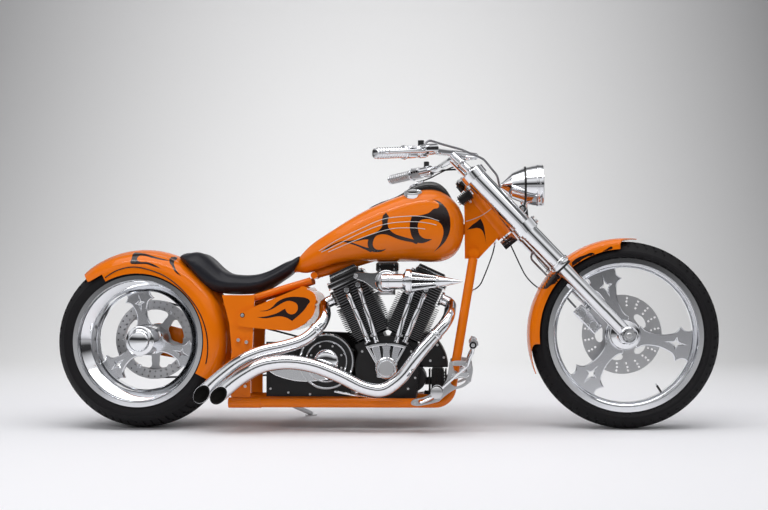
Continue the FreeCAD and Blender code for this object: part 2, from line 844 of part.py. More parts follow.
def rear_fender():
    low_angle = -s.rear_fender_front_angle.value
    sweep = s.rear_fender_back_angle.value - low_angle
    shell = fender_shell(s.rear_fender_radius, s.rear_fender_width, s.rear_fender_skirt_radius,
                         s.rear_fender_wall, s.rear_fender_corner, rear_centre, low_angle, sweep)
    wide = s.rear_fender_width.value
    skirt_radius = s.rear_fender_skirt_radius.value
    corner_low = around(rear_centre, s.rear_fender_skirt_angle, skirt_radius * 0.9)
    corner_mid = around(rear_centre, s.rear_fender_skirt_angle, skirt_radius * 1.12)
    corner_high = around(rear_centre, s.rear_fender_back_angle.value - 2,
                         s.rear_fender_radius.value - s.rear_fender_corner.value)
    far = around(rear_centre, s.rear_fender_back_angle.value + 10, s.rear_fender_radius.value * 0.9)
    far_low = around(rear_centre, s.rear_fender_back_angle.value + 10, skirt_radius * 0.8)
    back = prism([(p.x, p.z) for p in (corner_low, corner_mid, corner_high, far, far_low)], -wide, wide)
    shell = shell.cut(back)
    hoop = seat_hoop()
    rise = hoop.z - rear_centre.z
    spread = s.fender_strut_spread.value
    inner = s.rear_fender_radius.value - s.rear_fender_wall.value - s.rear_fender_corner.value * 0.1
    foot = math.sqrt(inner * inner - rise * rise)
    for side in (-1, 1):
        stop = at(hoop.x - s.seat_rail_radius * 0.8 - s.seat_gap, side * spread, hoop.z)
        shell = shell.fuse(rod(at(foot, side * spread, hoop.z), stop, s.fender_strut_radius))
    feature("rear_fender", shell)


def front_fender():
    tail = s.front_fender_tail_angle.value
    tip = s.front_fender_tip_angle.value
    shell = fender_shell(s.front_fender_radius, s.front_fender_width, s.front_fender_skirt_radius,
                         s.front_fender_wall, s.front_fender_corner, front_centre, tip, tail - tip)
    half = s.front_fender_width.value / 2 + s.overrun.value
    point = s.front_fender_tip_width.value / 2
    skirt = s.front_fender_skirt_radius.value
    outer = s.front_fender_radius.value + s.overrun.value
    front_low = around(front_centre, s.front_fender_skirt_front_angle, skirt)
    front_tip = around(front_centre, tip, outer)
    rear_low = around(front_centre, s.front_fender_skirt_rear_angle, skirt)
    rear_tip = around(front_centre, tail, outer)
    for side in (-1, 1):
        front_cut = prism([(front_low.x, side * half), (front_tip.x + half, side * half),
                           (front_tip.x + half, side * point), (front_tip.x, side * point)],
                          front_low.z - half, front_tip.z + half, "z")
        rear_cut = prism([(side * half, rear_low.z), (side * half, rear_tip.z - half),
                          (side * point, rear_tip.z - half), (side * point, rear_tip.z)],
                         rear_low.x - half * 3, rear_low.x + half, "x")
        shell = shell.cut(front_cut).cut(rear_cut)
        for share in (0.12, 0.5):
            up = skirt + (s.front_fender_radius.value - skirt) * share
            start = leg_point(up, side,
                              s.fork_spread.value / 2 - half + s.overrun.value + s.front_fender_wall.value / 2)
            shell = shell.fuse(rod(start, leg_point(up, side), s.fender_boss_radius))
        shell = shell.cut(rod(leg_point(0, side), leg_point(s.leg_step_length, side),
                              s.slider_radius + s.seat_gap))
    feature("front_fender", shell)


# Frame
def backbone_point(share):
    """Along the backbone: 0 where the seat rails meet it, 1 inside the gusset."""
    back = at(s.tank_back + s.backbone_radius * 4, 0, s.tank_base + s.backbone_radius * 0.2)
    front = at(s.neck_forward - s.neck_radius, 0, s.neck_height - s.neck_radius * 1.5)
    return back + (front - back) * share


def backbone():
    half = s.neck_length.value / 2
    low = neck_centre - stem_up * half
    high = neck_centre + stem_up * half
    edge = s.neck_radius.value * 0.6
    rear = s.tank_front.value + s.seat_gap.value * 10
    top = s.cradle_top_height.value
    gusset = prism([(high.x, high.z), (high.x - edge, high.z - edge), (rear, s.tank_crest.value * 0.89),
                    (rear, top - edge), (s.cradle_top_forward.value + edge, top - edge),
                    (low.x - edge, low.z), (low.x, low.z)],
                   -s.gusset_width.value / 2, s.gusset_width.value / 2)
    tube = rod(low, high, s.neck_radius)
    spine = rod(backbone_point(0), backbone_point(1), s.backbone_radius)
    bore = rod(low - stem_up * s.overrun.value, high + stem_up * s.overrun.value,
               s.stem_radius + s.running_gap)
    across = at(0, s.seat_rail_gather, 0)
    tail = backbone_point(0) - at(0, 0, s.seat_rail_radius * 0.5)
    cross = rod(tail - across, tail + across, s.seat_rail_radius)
    saddle = at(s.cradle_top_forward, s.cradle_top_spread, s.cradle_top_height)
    bridge = rod(at(saddle.x, -saddle.y, saddle.z), saddle, s.cradle_tube_radius * 1.15)
    feature("backbone", tube.fuse([gusset, spine, cross, bridge]).cut(bore).removeSplitter())


def cradle_route(side):
    return (at(s.cradle_top_forward, s.cradle_top_spread * side, s.cradle_top_height),
            at(s.rail_front, s.rail_spread * side, s.rail_height),
            at(s.rail_rear, s.rail_spread * side, s.rail_height))


def cradle_tube(label, side):
    top, lower, back = cradle_route(side)
    away = (lower - top).normalize() * (s.cradle_tube_radius.value * 1.155)
    tube = bent_tube([top + away, lower, back], s.cradle_tube_radius, s.cradle_bend_radius)
    sleeve = rod(back, back + at(s.rail_sleeve_length, 0, 0), s.rail_sleeve_radius)
    feature(label, tube.fuse(sleeve).removeSplitter())


# Side view of a pivot plate: along and up as shares of its width and height
pivot_plate_shares = [
    (0.10, 0.00), (0.85, 0.00), (0.85, 0.22), (0.93, 0.50), (1.00, 1.00),
    (-0.27, 1.00), (0.02, 0.72), (0.12, 0.45), (0.00, 0.20),
]


def pivot_plate_corners():
    low = s.rail_height.value + s.rail_sleeve_radius.value + s.seat_gap.value
    tall = s.plate_top.value - low
    return [at(s.rail_rear.value + s.plate_width.value * x, 0, low + tall * z)
            for x, z in pivot_plate_shares]


def pivot_plates():
    low = s.rail_height.value + s.rail_sleeve_radius.value + s.seat_gap.value
    tall = s.plate_top.value - low
    points = [(corner.x, corner.z) for corner in pivot_plate_corners()]
    inner = s.rail_spread.value - s.pivot_plate_thickness.value / 2
    outer = inner + s.pivot_plate_thickness.value
    plate = prism(points, inner, outer)
    for along, up in ((0.39, 0.56), (0.70, 0.555)):
        seat = at(s.rail_rear.value + s.plate_width.value * along, outer, low + tall * up)
        plate = plate.fuse(rod(seat, seat + at(0, s.bolt_head_height, 0), s.bolt_head_radius))
    pivot = at(s.pivot_forward, 0, s.pivot_height)
    tube = rod(pivot - at(0, inner, 0), pivot + at(0, inner, 0), s.pivot_tube_radius)
    feature("pivot_plates", plate.fuse([mirrored(plate), tube]).removeSplitter())


def seat_hoop():
    """Middle of the cross tube that joins the seat rails behind."""
    return at(s.rail_rear + s.seat_rail_radius * 2, 0, s.plate_top - s.seat_rail_radius * 2.6)


def seat_rails():
    """Two tubes that rise from the pivot plates and gather at the backbone."""
    radius = s.seat_rail_radius.value
    spread = s.rail_spread.value - s.pivot_plate_thickness.value / 2 - radius - s.seat_gap.value
    low = seat_hoop() - at(radius, spread, 0)
    stop = backbone_point(0) + at(-radius, -s.seat_rail_gather.value, -radius * 2 - s.seat_gap.value * 2)
    middle = low + (stop - low) * 0.6 + at(0, s.seat_rail_gather.value * -0.5, 0)
    side = bent_tube([low, middle, stop], radius)
    hoop = rod(low + at(radius, 0, 0), low + at(radius, 2 * spread, 0), radius * 0.8)
    feature("seat_rails", side.fuse([mirrored(side), hoop]).removeSplitter())


# Seat and tank: rings along the machine, each (along share, half width share, low share, high share)
tank_rings = [
    (0.000, 0.22, 0.02, 0.10), (0.05, 0.42, 0.02, 0.26), (0.20, 0.66, 0.10, 0.49),
    (0.39, 0.86, 0.155, 0.72),
    (0.58, 0.98, 0.15, 0.89), (0.74, 1.00, 0.15, 0.985), (0.86, 0.96, 0.15, 0.975),
    (0.94, 0.80, 0.22, 0.87),
    (0.98, 0.58, 0.33, 0.76), (1.00, 0.30, 0.46, 0.64),
]
seat_rings = [
    (0.00, 0.50, 0.87, 0.94), (0.06, 0.80, 0.70, 0.97), (0.17, 0.98, 0.28, 0.99), (0.27, 1.00, 0.05, 0.78),
    (0.36, 1.00, 0.01, 0.53), (0.50, 1.00, 0.00, 0.41), (0.64, 0.98, 0.02, 0.41), (0.76, 0.84, 0.18, 0.52),
    (0.86, 0.66, 0.36, 0.70), (0.95, 0.50, 0.56, 0.88), (1.00, 0.40, 0.76, 0.97),
]


def ringed(rings, back, front, base, crest, width):
    long = front.value - back.value
    tall = crest.value - base.value
    return loft([ring_points(back.value + long * along, width.value / 2 * wide,
                             base.value + tall * low, base.value + tall * high)
                 for along, wide, low, high in rings])


def fuel_tank():
    tank = ringed(tank_rings, s.tank_back, s.tank_front, s.tank_base, s.tank_crest, s.tank_width)
    gap = s.backbone_radius.value + s.tunnel_gap.value
    start = backbone_point(0) - (backbone_point(1) - backbone_point(0)) * 0.2
    stop = backbone_point(1)
    drop = at(0, 0, s.tank_crest - s.tank_base)
    tunnel = prism([(start.x, start.z + gap), (stop.x, stop.z + gap), (stop.x, (stop - drop).z),
                    (start.x, (start - drop).z)],
                   -gap, gap)
    feature("fuel_tank", tank.cut(tunnel))


def tank_top(forward):
    """Height of the tank's crest at a place along it."""
    share = (float(forward) - s.tank_back.value) / (s.tank_front.value - s.tank_back.value)
    tall = s.tank_crest.value - s.tank_base.value
    for before, after in zip(tank_rings, tank_rings[1:]):
        if before[0] <= share <= after[0]:
            part = (share - before[0]) / (after[0] - before[0])
            return s.tank_base.value + tall * (before[3] + (after[3] - before[3]) * part)
    return s.tank_crest.value


def filler_cap():
    top = at(s.cap_forward, -s.dash_width / 2 - s.cap_radius * 1.08,
             tank_top(s.cap_forward) - s.cap_radius.value * 0.55)
    return rod(top,
               top + at(0, -s.cap_height * sine(s.cap_tilt_angle), s.cap_height * cosine(s.cap_tilt_angle)),
               s.cap_radius)


# Along the dash from behind: place, half width and rise as shares; a low strip, then the instrument's hump
dash_rings = [
    (0.00, 0.16, 0.02), (0.12, 0.48, 0.10), (0.30, 0.72, 0.14), (0.44, 0.84, 0.22), (0.56, 0.96, 0.72),
    (0.68, 1.00, 1.00), (0.79, 0.98, 0.92), (0.89, 0.86, 0.52), (1.00, 0.56, 0.16),
]


def dash_panel():
    rings = []
    long = s.dash_front.value - s.dash_back.value
    for along, wide, rise in dash_rings:
        x = s.dash_back.value + long * along
        base = tank_top(x) - s.dash_rise.value * 0.5
        rings.append(ring_points(x, s.dash_width.value / 2 * wide, base,
                                 base + s.dash_rise.value * (0.5 + rise), 0.8))
    return loft(rings)


def tank_fittings():
    """The cap and the dash sit in the tank's skin, so the tank is cleared round them."""
    tank = made[-1]
    cap = filler_cap()
    dash = dash_panel()
    placed = tank.Placement
    tank.Placement = Placement()
    shape = tank.Shape.copy()
    tank.Shape = shape.cut(cap).cut(dash)
    tank.Placement = placed
    feature("filler_cap", cap)
    feature("dash_panel", dash)


def seat():
    shape = ringed(seat_rings, s.seat_back, s.seat_front, s.seat_base, s.seat_crest, s.seat_width)
    under = rear_fender_envelope(s.seat_gap * 2)
    tank = ringed(tank_rings, s.tank_back, s.tank_front, s.tank_base, s.tank_crest, s.tank_width)
    tank.translate(at(s.seat_gap * -4, 0, 0))
    feature("seat", shape.cut(under).cut(tank))


# Side cover outline from its rear end clockwise: along and up as shares, with the rise of an arc to the next
side_cover_shares = [
    (0.00, 0.12, 0.030), (0.00, 0.42, 0.0), (0.80, 1.00, 0.035), (0.91, 0.955, 0.060), (1.00, 0.60, 0.030),
    (0.93, 0.26, 0.020), (0.67, 0.00, 0.0), (0.07, 0.09, 0.0),
]


def oil_tank():
    """The tank between the frame rails, with a pointed cover on each side that laps the pivot plates."""
    body = new_body("oil_tank")
    back = s.oil_tank_back
    long = s.oil_tank_front - s.side_cover_back
    base = s.oil_tank_base
    tall = s.oil_tank_top - s.oil_tank_base
    outline = []
    for along, up, rise in side_cover_shares:
        corner = (s.side_cover_back + long * along, base + tall * up)
        outline.append(corner + (long * rise,) if rise else corner)
    padded(body, "Pad", "oil_tank_cover", outline, s.oil_tank_width + s.side_cover_thickness * 2)
    padded(body, "Pocket", "oil_tank_rebate", [
        (s.side_cover_back - s.overrun, base - s.overrun), (back, base - s.overrun),
        (back, s.oil_tank_top + s.overrun), (s.side_cover_back - s.overrun, s.oil_tank_top + s.overrun),
    ], s.oil_tank_width + s.seat_gap * 4)
    keep(body, "oil_tank")


# Engine
def vee(side, length, across=0):
    """A point along a cylinder's axis; side 1 leans forward, -1 back."""
    angle = s.half_vee_angle.value * side
    up = at(sine(angle), 0, cosine(angle))
    out = at(cosine(angle), 0, -sine(angle))
    return at(s.crank_forward, 0, s.crank_height) + up * float(length) + out * float(across)


def vee_block(side, low, high, half_along, half_across):
    """A block square to a cylinder's axis, trimmed where it would cross the machine's vee plane."""
    trimmed = float(low) * math.tan(math.radians(s.half_vee_angle.value)) - s.seat_gap.value
    inner = -side * min(float(half_along), trimmed)
    outer = side * float(half_along)
    corners = [vee(side, low, inner), vee(side, low, outer), vee(side, high, outer), vee(side, high, inner)]
    return prism([(p.x, p.z) for p in corners], -float(half_across), half_across)


def crankcase_envelope():
    """The room that the crankcase and its nose take, with the seat gap."""
    half = s.crankcase_width / 2 + s.seat_gap
    case = rod(at(s.crank_forward, -half, s.crank_height), at(s.crank_forward, half, s.crank_height),
               s.crankcase_radius + s.seat_gap)
    return case.fuse(crankcase_nose(s.seat_gap))


def crankcase_nose(gap):
    reach = s.crankcase_radius
    half = s.crankcase_width * 0.35
    return rod(at(s.crank_forward + reach * 0.8, -half - gap, s.crank_height - reach * 0.35),
               at(s.crank_forward + reach * 0.8, half + gap, s.crank_height - reach * 0.35),
               reach * 0.42 + gap)


def crankcase():
    middle = at(s.crank_forward, 0, s.crank_height)
    half = s.crankcase_width.value / 2
    radius = s.crankcase_radius.value
    case = rod(middle - at(0, half, 0), middle + at(0, half, 0), radius)
    for side in (-1, 1):
        case = case.fuse(vee_block(side, s.cylinder_foot * 0.7, s.cylinder_foot, s.barrel_radius * 1.35,
                                   half * 0.8))
    sump = prism([(middle.x - radius * 0.9, middle.z - radius),
                  (middle.x + radius * 0.9, middle.z - radius),
                  (middle.x + radius * 1.05, middle.z), (middle.x - radius, middle.z)], -half * 0.9,
                 half * 0.9)
    feature("crankcase", case.fuse([sump, crankcase_nose(0)]).removeSplitter())


def cylinder(label, side):
    low = s.cylinder_foot.value + s.seat_gap.value
    high = low + s.cylinder_length.value
    barrel = rod(vee(side, low), vee(side, high), s.barrel_radius)
    fins = []
    count = int(s.cylinder_length.value / s.fin_pitch.value) - 1
    for index in range(count):
        level = low + s.fin_pitch.value * (index + 1)
        reach = s.fin_reach.value
        fins.append(vee_block(side, level, level + s.fin_thickness.value, reach, reach * 0.98))
    feature(label, barrel.fuse(fins).removeSplitter())


def head(label, side):
    low = s.cylinder_foot.value + s.cylinder_length.value + s.seat_gap.value * 2
    high = low + s.head_length.value
    half_long = s.head_width.value / 2
    half_wide = s.head_depth.value / 2
    core = vee_block(side, low, high, half_long * 0.8, half_wide * 0.8)
    fins = []
    for index in range(int(s.head_length.value / s.fin_pitch.value)):
        level = low + s.fin_pitch.value * index
        fins.append(vee_block(side, level, level + s.fin_thickness.value * 1.4, half_long, half_wide))
    rocker = vee_block(side, high, high + s.rocker_height.value * 0.55, half_long, half_wide)
    rocker = rocker.fuse(vee_block(side, high, high + s.rocker_height.value, half_long * 0.78,
                                   half_wide * 0.9))
    bosses = []
    for step in (0, 1):
        foot, top = pushrod_line(side, step)
        seat = top + (top - foot).normalize() * (s.pushrod_boss_radius.value + s.seat_gap.value)
        outer = at(seat.x, -s.pushrod_offset - s.pushrod_radius, seat.z)
        bosses.append(rod(outer, at(seat.x, half_wide * -0.7, seat.z), s.pushrod_boss_radius))
    feature(label, core.fuse(fins + [rocker] + bosses).removeSplitter())


def cam_cover():
    body = new_body("cam_cover")
    x = s.crank_forward
    z = s.crank_height
    reach = s.crankcase_radius
    padded(body, "Pad", "cam_cover_fan", [
        (x - reach * 0.36, z + reach * 0.16), (x - reach * 0.66, z + reach * 0.68), (x, z + reach * 0.80),
        (x + reach * 0.66, z + reach * 0.68), (x + reach * 0.36, z + reach * 0.16),
        (x + reach * 0.30, z - reach * 0.30),
        (x - reach * 0.30, z - reach * 0.30),
    ], s.cam_cover_depth)
    cap = spun_boss(body, "cam_cover_cap", x, z, s.cam_cap_radius, s.cam_cover_depth / 2 + s.cam_cap_depth)
    body.Tip = cap
    keep(body, "cam_cover",
         Placement(at(0, -s.crankcase_width / 2 - s.cam_cover_depth / 2 - s.seat_gap, 0), Rotation()))


def pushrod_line(side, step):
    """Foot and top of one pushrod tube; step 0 is nearer the vee plane."""
    reach = s.crankcase_radius.value
    foot = at(s.crank_forward + side * reach * (0.30 + 0.27 * step), 0,
              s.crank_height + reach * 0.8 + s.seat_gap.value * 2)
    top = vee(side, s.cylinder_foot.value + s.cylinder_length.value + s.head_length.value * 0.4,
              side * s.head_width.value * (-0.22 + 0.30 * step))
    outward = at(0, -s.pushrod_offset, 0)
    return foot + outward, top + outward


def pushrod_tubes():
    tubes = []
    cuff = s.pushrod_offset - s.crankcase_width / 2 - s.seat_gap
    for side in (-1, 1):
        for step in (0, 1):
            foot, top = pushrod_line(side, step)
            run = (top - foot).normalize()
            tube = rod(foot, top, s.pushrod_radius * 0.8)
            tube = tube.fuse([rod(foot, foot + run * s.pushrod_radius.value * 2.5, cuff),
                              rod(top - run * s.pushrod_radius.value * 3, top, s.pushrod_radius)])
            tubes.append(tube.removeSplitter())
    feature("pushrod_tubes", Part.makeCompound(tubes))


def intake():
    """A vee manifold between the two heads and a throat out to the air cleaner, with a bowl below."""
    radius = s.intake_radius.value
    level = s.cylinder_foot + s.cylinder_length + s.head_length / 2
    face = s.head_width / 2 + s.seat_gap
    tips = []
    parts = []
    for side in (-1, 1):
        port = vee(side, level, -side * face.value)
        tip = vee(side, level, -side * (face.value + radius * 0.6))
        parts.append(rod(port, tip, radius * 0.75))
        tips.append(tip)
    parts.append(rod(tips[0], tips[1], radius))
    middle = (tips[0] + tips[1]) * 0.5
    outer = at(middle.x, -s.spike_offset, s.spike_height)
    parts.append(rod(middle, outer, radius * 0.9))
    bowl = middle + (outer - middle) * 0.55
    parts.append(rod(bowl - at(0, 0, radius * 1.9), bowl, radius * 1.25))
    seat = at(s.crank_forward - s.spike_setback - s.overrun, -s.spike_offset, s.spike_height)
    cleared = rod(seat, seat + at(s.spike_barrel_length + s.overrun * 2, 0, 0),
                  s.spike_barrel_radius + s.seat_gap)
    feature("intake", parts[0].fuse(parts[1:]).cut(cleared).removeSplitter())


def air_cleaner():
    body = new_body("air_cleaner")
    barrel = s.spike_barrel_radius
    back = s.crank_forward - s.spike_setback
    front = back + s.spike_barrel_length
    collar = front + s.spike_collar_length
    tip = back + s.spike_length
    spun(body, "Revolution", "air_cleaner_turning", [
        (back, 0), (back, barrel * 0.7), (back + barrel * 0.3, barrel),
        (front, barrel), (front, s.spike_collar_radius), (collar, s.spike_collar_radius),
        (collar, s.spike_cone_radius), (tip, barrel * 0.08), (tip, 0),
    ], "XZ_Plane")
    keep(body, "air_cleaner", Placement(at(0, -s.spike_offset, s.spike_height), Rotation()))


def gearbox_shaft():
    return at(s.crank_forward - s.shaft_distance, 0, s.gearbox_shaft_height)


def gearbox_ends():
    """Back and front of the gearbox, behind the crank."""
    front = s.crank_forward - s.gearbox_gap
    return front - s.gearbox_length, front


def gearbox():
    half = s.gearbox_width.value / 2
    back, front = (end.value for end in gearbox_ends())
    low, high = s.gearbox_base.value, s.gearbox_top.value
    case = prism([(back, low), (front, low), (front, low + (high - low) * 0.75), (front - half, high),
                  (back + half * 1.4, high), (back, low + (high - low) * 0.55)], -half, half)
    shaft = gearbox_shaft()
    output = rod(shaft, shaft + at(0, s.belt_offset, 0), s.front_pulley_radius * 0.5)
    low = s.belt_offset.value - s.belt_width.value / 2
    pulley = rod(shaft + at(0, low, 0), shaft + at(0, low + s.belt_width.value, 0), s.front_pulley_radius)
    feature("gearbox", case.fuse([output, pulley]).removeSplitter())


def gearbox_cover():
    half = s.gearbox_width.value / 2 + s.seat_gap.value
    radius = s.clutch_dome_radius.value
    back, front = (end.value for end in gearbox_ends())
    middle = at(front - radius * 2, -half, s.gearbox_shaft_height)
    dome = rod(middle, middle - at(0, s.clutch_dome_depth, 0), radius, radius * 0.8)
    low = s.gearbox_base.value + radius * 1.2
    blade = prism([(back, low + radius * 0.9), (back + radius * 0.4, low + radius * 0.1),
                   (back + radius * 3, low - radius * 0.1),
                   (back + radius * 5.2, low + radius * 0.2), (back + radius * 4.4, low + radius * 1.1),
                   (back + radius * 2, low + radius * 1.5)],
                  -half - s.clutch_dome_depth.value * 0.8, -half)
    feature("gearbox_cover", dome.fuse(blade).removeSplitter())


def belt_line(radius_rear, radius_front, low, high):
    """A closed band outline round both pulleys, as a solid stadium."""
    rear = rear_centre
    front = gearbox_shaft()
    run = front - rear
    tilt = math.atan2(run.z, run.x)
    open_angle = math.acos((radius_rear - radius_front) / run.Length)
    solids = [rod(at(c.x, low, c.z), at(c.x, high, c.z), r)
              for c, r in ((rear, radius_rear), (front, radius_front))]
    corners = []
    for centre, radius, sign in ((rear, radius_rear, 1), (front, radius_front, 1),
                                 (front, radius_front, -1), (rear, radius_rear, -1)):
        angle = tilt + sign * open_angle
        corners.append((centre.x + radius * math.cos(angle), centre.z + radius * math.sin(angle)))
    return solids[0].fuse([solids[1], prism(corners, low, high)]).removeSplitter()


def drive_belt():
    low = s.belt_offset.value - s.belt_width.value / 2
    high = low + s.belt_width.value
    gap = s.seat_gap.value
    rear, front = s.rear_pulley_radius.value + gap, s.front_pulley_radius.value + gap
    thick = s.belt_thickness.value
    band = belt_line(rear + thick, front + thick, low,
                     high).cut(belt_line(rear, front, low - thick, high + thick))
    feature("drive_belt", band)


def primary_cover():
    low = s.primary_offset.value
    high = low + s.primary_depth.value
    crank = at(s.crank_forward, 0, s.crank_height)
    clutch = gearbox_shaft()
    large, small = s.primary_front_radius.value, s.primary_rear_radius.value
    shape = rod(at(crank.x, low, crank.z), at(crank.x, high, crank.z), large)
    shape = shape.fuse([rod(at(clutch.x, low, clutch.z), at(clutch.x, high, clutch.z), small),
                        prism([(clutch.x, clutch.z - small), (crank.x, crank.z - large),
                               (crank.x, crank.z + large), (clutch.x, clutch.z + small)], low, high),
                        rod(at(crank.x, s.crankcase_width / 2 + s.seat_gap, crank.z),
                            at(crank.x, low, crank.z), large * 0.7)])
    feature("primary_cover", shape.removeSplitter())


def regulator():
    """A finned block between the down tubes, ahead of the crankcase."""
    middle = at(s.crank_forward + s.crankcase_radius * 1.62, 0, s.crank_height - s.crankcase_radius * 0.45)
    half = s.regulator_size.value / 2
    block = prism([(middle.x - half * 0.5, middle.z - half), (middle.x + half * 0.3, middle.z - half),
                   (middle.x + half * 0.3, middle.z + half), (middle.x - half * 0.5, middle.z + half)],
                  -half, half)
    fins = []
    for index in range(int(s.regulator_size.value / s.fin_pitch.value)):
        level = middle.z - half + s.fin_pitch.value * index
        fins.append(prism([(middle.x, level), (middle.x + half * 0.6, level),
                           (middle.x + half * 0.6, level + s.fin_thickness.value),
                           (middle.x, level + s.fin_thickness.value)], -half, half))
    arm = rod(middle, at(s.crank_forward + s.crankcase_radius * 0.8, 0, middle.z), half * 0.3)
    arm = arm.cut(crankcase_envelope())
    feature("regulator", block.fuse(fins + [arm]).removeSplitter())


# Exhaust: two pipes swept back along the right side and cut to a slant
# Each turn of a pipe: along the way from the tips to the crank, out to the right, and up, as shares
upper_pipe_shares = [
    (0.668, 0.612, 1.006), (0.571, 0.776, 0.738), (0.455, 0.822, 0.644),
    (0.335, 0.822, 0.588), (0.213, 0.822, 0.461), (0.102, 0.822, 0.243),
    (0.000, 0.822, 0.007),
]
lower_pipe_shares = [
    (1.342, 0.598, 1.007), (1.195, 0.832, 0.596), (1.083, 0.888, 0.213),
    (0.989, 0.888, 0.049), (0.885, 0.888, 0.094), (0.764, 0.888, 0.251),
    (0.618, 0.935, 0.401), (0.482, 0.991, 0.457), (0.338, 1.000, 0.412),
    (0.216, 1.000, 0.236), (0.105, 1.000, 0.000),
]


def exhaust_route(side, shares):
    """Out of the head's port, then along the turns."""
    face = s.head_width / 2 + s.seat_gap
    middle = s.cylinder_foot + s.cylinder_length + s.head_length / 2
    inward = at(0, s.exhaust_offset.value * -0.2, 0)
    route = [vee(side, middle, side * face.value) + inward,
             vee(side, middle, side * (face.value + s.pipe_radius.value * 1.8)) + inward]
    for along, out, up in shares:
        route.append(at(s.exhaust_back + (s.crank_forward - s.exhaust_back) * along,
                        -s.exhaust_offset * out,
                        s.exhaust_low + s.exhaust_rise * up))
    return route


def exhaust_pipe(route):
    """A pipe that widens to its tip, cut to a slash that faces out to the right."""
    end = route[-1]
    run = (end - route[-2]).normalize()
    radius = s.pipe_end_radius.value
    tip = end + run * (radius * cosine(s.slash_angle) / sine(s.slash_angle) + s.overrun.value)
    path = bent_path(route[:-1] + [tip])
    first = Part.Wire(Part.makeCircle(s.pipe_radius.value, route[0], route[1] - route[0]))
    last = Part.Wire(Part.makeCircle(radius, tip, run))
    pipe = path.makePipeShell([first, last], True, False, 2)
    bore = rod(tip - run * s.pipe_bore_depth.value, tip + run * s.overrun.value,
               s.pipe_end_radius - s.pipe_wall * 2)
    outward = run * sine(s.slash_angle) - at(0, cosine(s.slash_angle), 0)
    return pipe.cut(bore).cut(rod(end, end + outward * (radius * 3), radius * 3))


def exhausts():
    feature("exhaust_upper", exhaust_pipe(exhaust_route(-1, upper_pipe_shares)))
    feature("exhaust_lower", exhaust_pipe(exhaust_route(1, lower_pipe_shares)))


# Fork and steering
def leg_point(length, side, inward=0):
    """A point up a fork leg from the front axle."""
    return front_centre + leg_up * float(length) + at(0, side * (s.fork_spread.value / 2 - float(inward)),
                                                      0)


def stem_point(rise, forward=0, across=0):
    return neck_centre + stem_up * float(rise) + stem_forward * float(forward) + at(0, across, 0)


def leg_length_at(rise):
    """Length up the leg where it meets a plane square to the stem."""
    start = (front_centre - neck_centre).dot(stem_up)
    return (float(rise) - start) / leg_up.dot(stem_up)


def clamp(label, rise, height, with_stem):
    low = float(rise) - float(height) / 2
    forward = (front_centre + leg_up * leg_length_at(rise) - neck_centre).dot(stem_forward)
    spread = s.fork_spread.value / 2
    outer = s.cover_radius.value + s.clamp_wall.value
    base = stem_point(low)
    up = stem_up * float(height)
    parts = []
    for side in (-1, 1):
        centre = stem_point(low, forward, side * spread)
        parts.append(Part.makeCylinder(outer, float(height), centre, stem_up))
    corners = [stem_point(low, forward + outer * 0.7, spread),
               stem_point(low, forward + outer * 0.7, -spread),
               stem_point(low, forward - outer * 0.8, -spread),
               stem_point(low, -s.neck_radius.value, -s.neck_radius.value),
               stem_point(low, -s.neck_radius.value, s.neck_radius.value),
               stem_point(low, forward - outer * 0.8, spread)]
    bridge = Part.Face(Part.makePolygon(corners + corners[:1])).extrude(up)
    shape = bridge.fuse(parts)
    for side in (-1, 1):
        shape = shape.cut(rod(leg_point(0, side), leg_point(s.leg_length.value * 1.2, side),
                              s.cover_radius + s.seat_gap))
    if with_stem:
        reach = s.top_clamp_rise.value - s.top_clamp_height.value / 2 - s.seat_gap.value
        stem = rod(stem_point(low), stem_point(reach), s.stem_radius)
        foot = stem_point(float(rise), forward + outer * 0.3)
        under = at(headlight_back() + s.headlight_length * 0.5, 0, s.headlight_height)
        bracket = rod(foot, under, s.bar_radius).cut(headlight_envelope())
        shape = shape.fuse([stem, bracket])
    feature(label, shape.removeSplitter())


def top_clamp():
    clamp("top_clamp", s.top_clamp_rise, s.top_clamp_height, False)


def lower_clamp():
    clamp("lower_clamp", -s.clamp_drop, s.lower_clamp_height, True)


def fork_leg(label, side):
    step = s.leg_step_length.value
    lower = leg_length_at(-s.clamp_drop.value - s.lower_clamp_height.value / 2) - s.cover_radius.value * 0.2
    stations = [(0, 0), (0, s.slider_foot_radius), (step * 0.35, s.slider_radius), (step, s.slider_radius),
                (step, s.leg_radius),
                (lower, s.leg_radius), (lower, s.cover_radius), (s.leg_length, s.cover_radius),
                (s.leg_length, 0)]
    start = leg_point(0, side)
    corners = [start + leg_up * float(length) + leg_forward * float(out) for length, out in stations]
    leg = Part.Face(Part.makePolygon(corners + corners[:1])).revolve(start, leg_up, 360)
    boss_inner = leg_point(0, side, s.axle_boss_width / 2)
    boss_outer = leg_point(0, side, -s.axle_boss_width / 2)
    boss = rod(boss_inner, boss_outer, s.axle_boss_radius)
    bore = rod(leg_point(0, side, s.axle_boss_width), leg_point(0, side, -s.axle_boss_width),
               s.front_axle_radius + s.seat_gap)
    feature(label, leg.fuse(boss).cut(bore).removeSplitter())


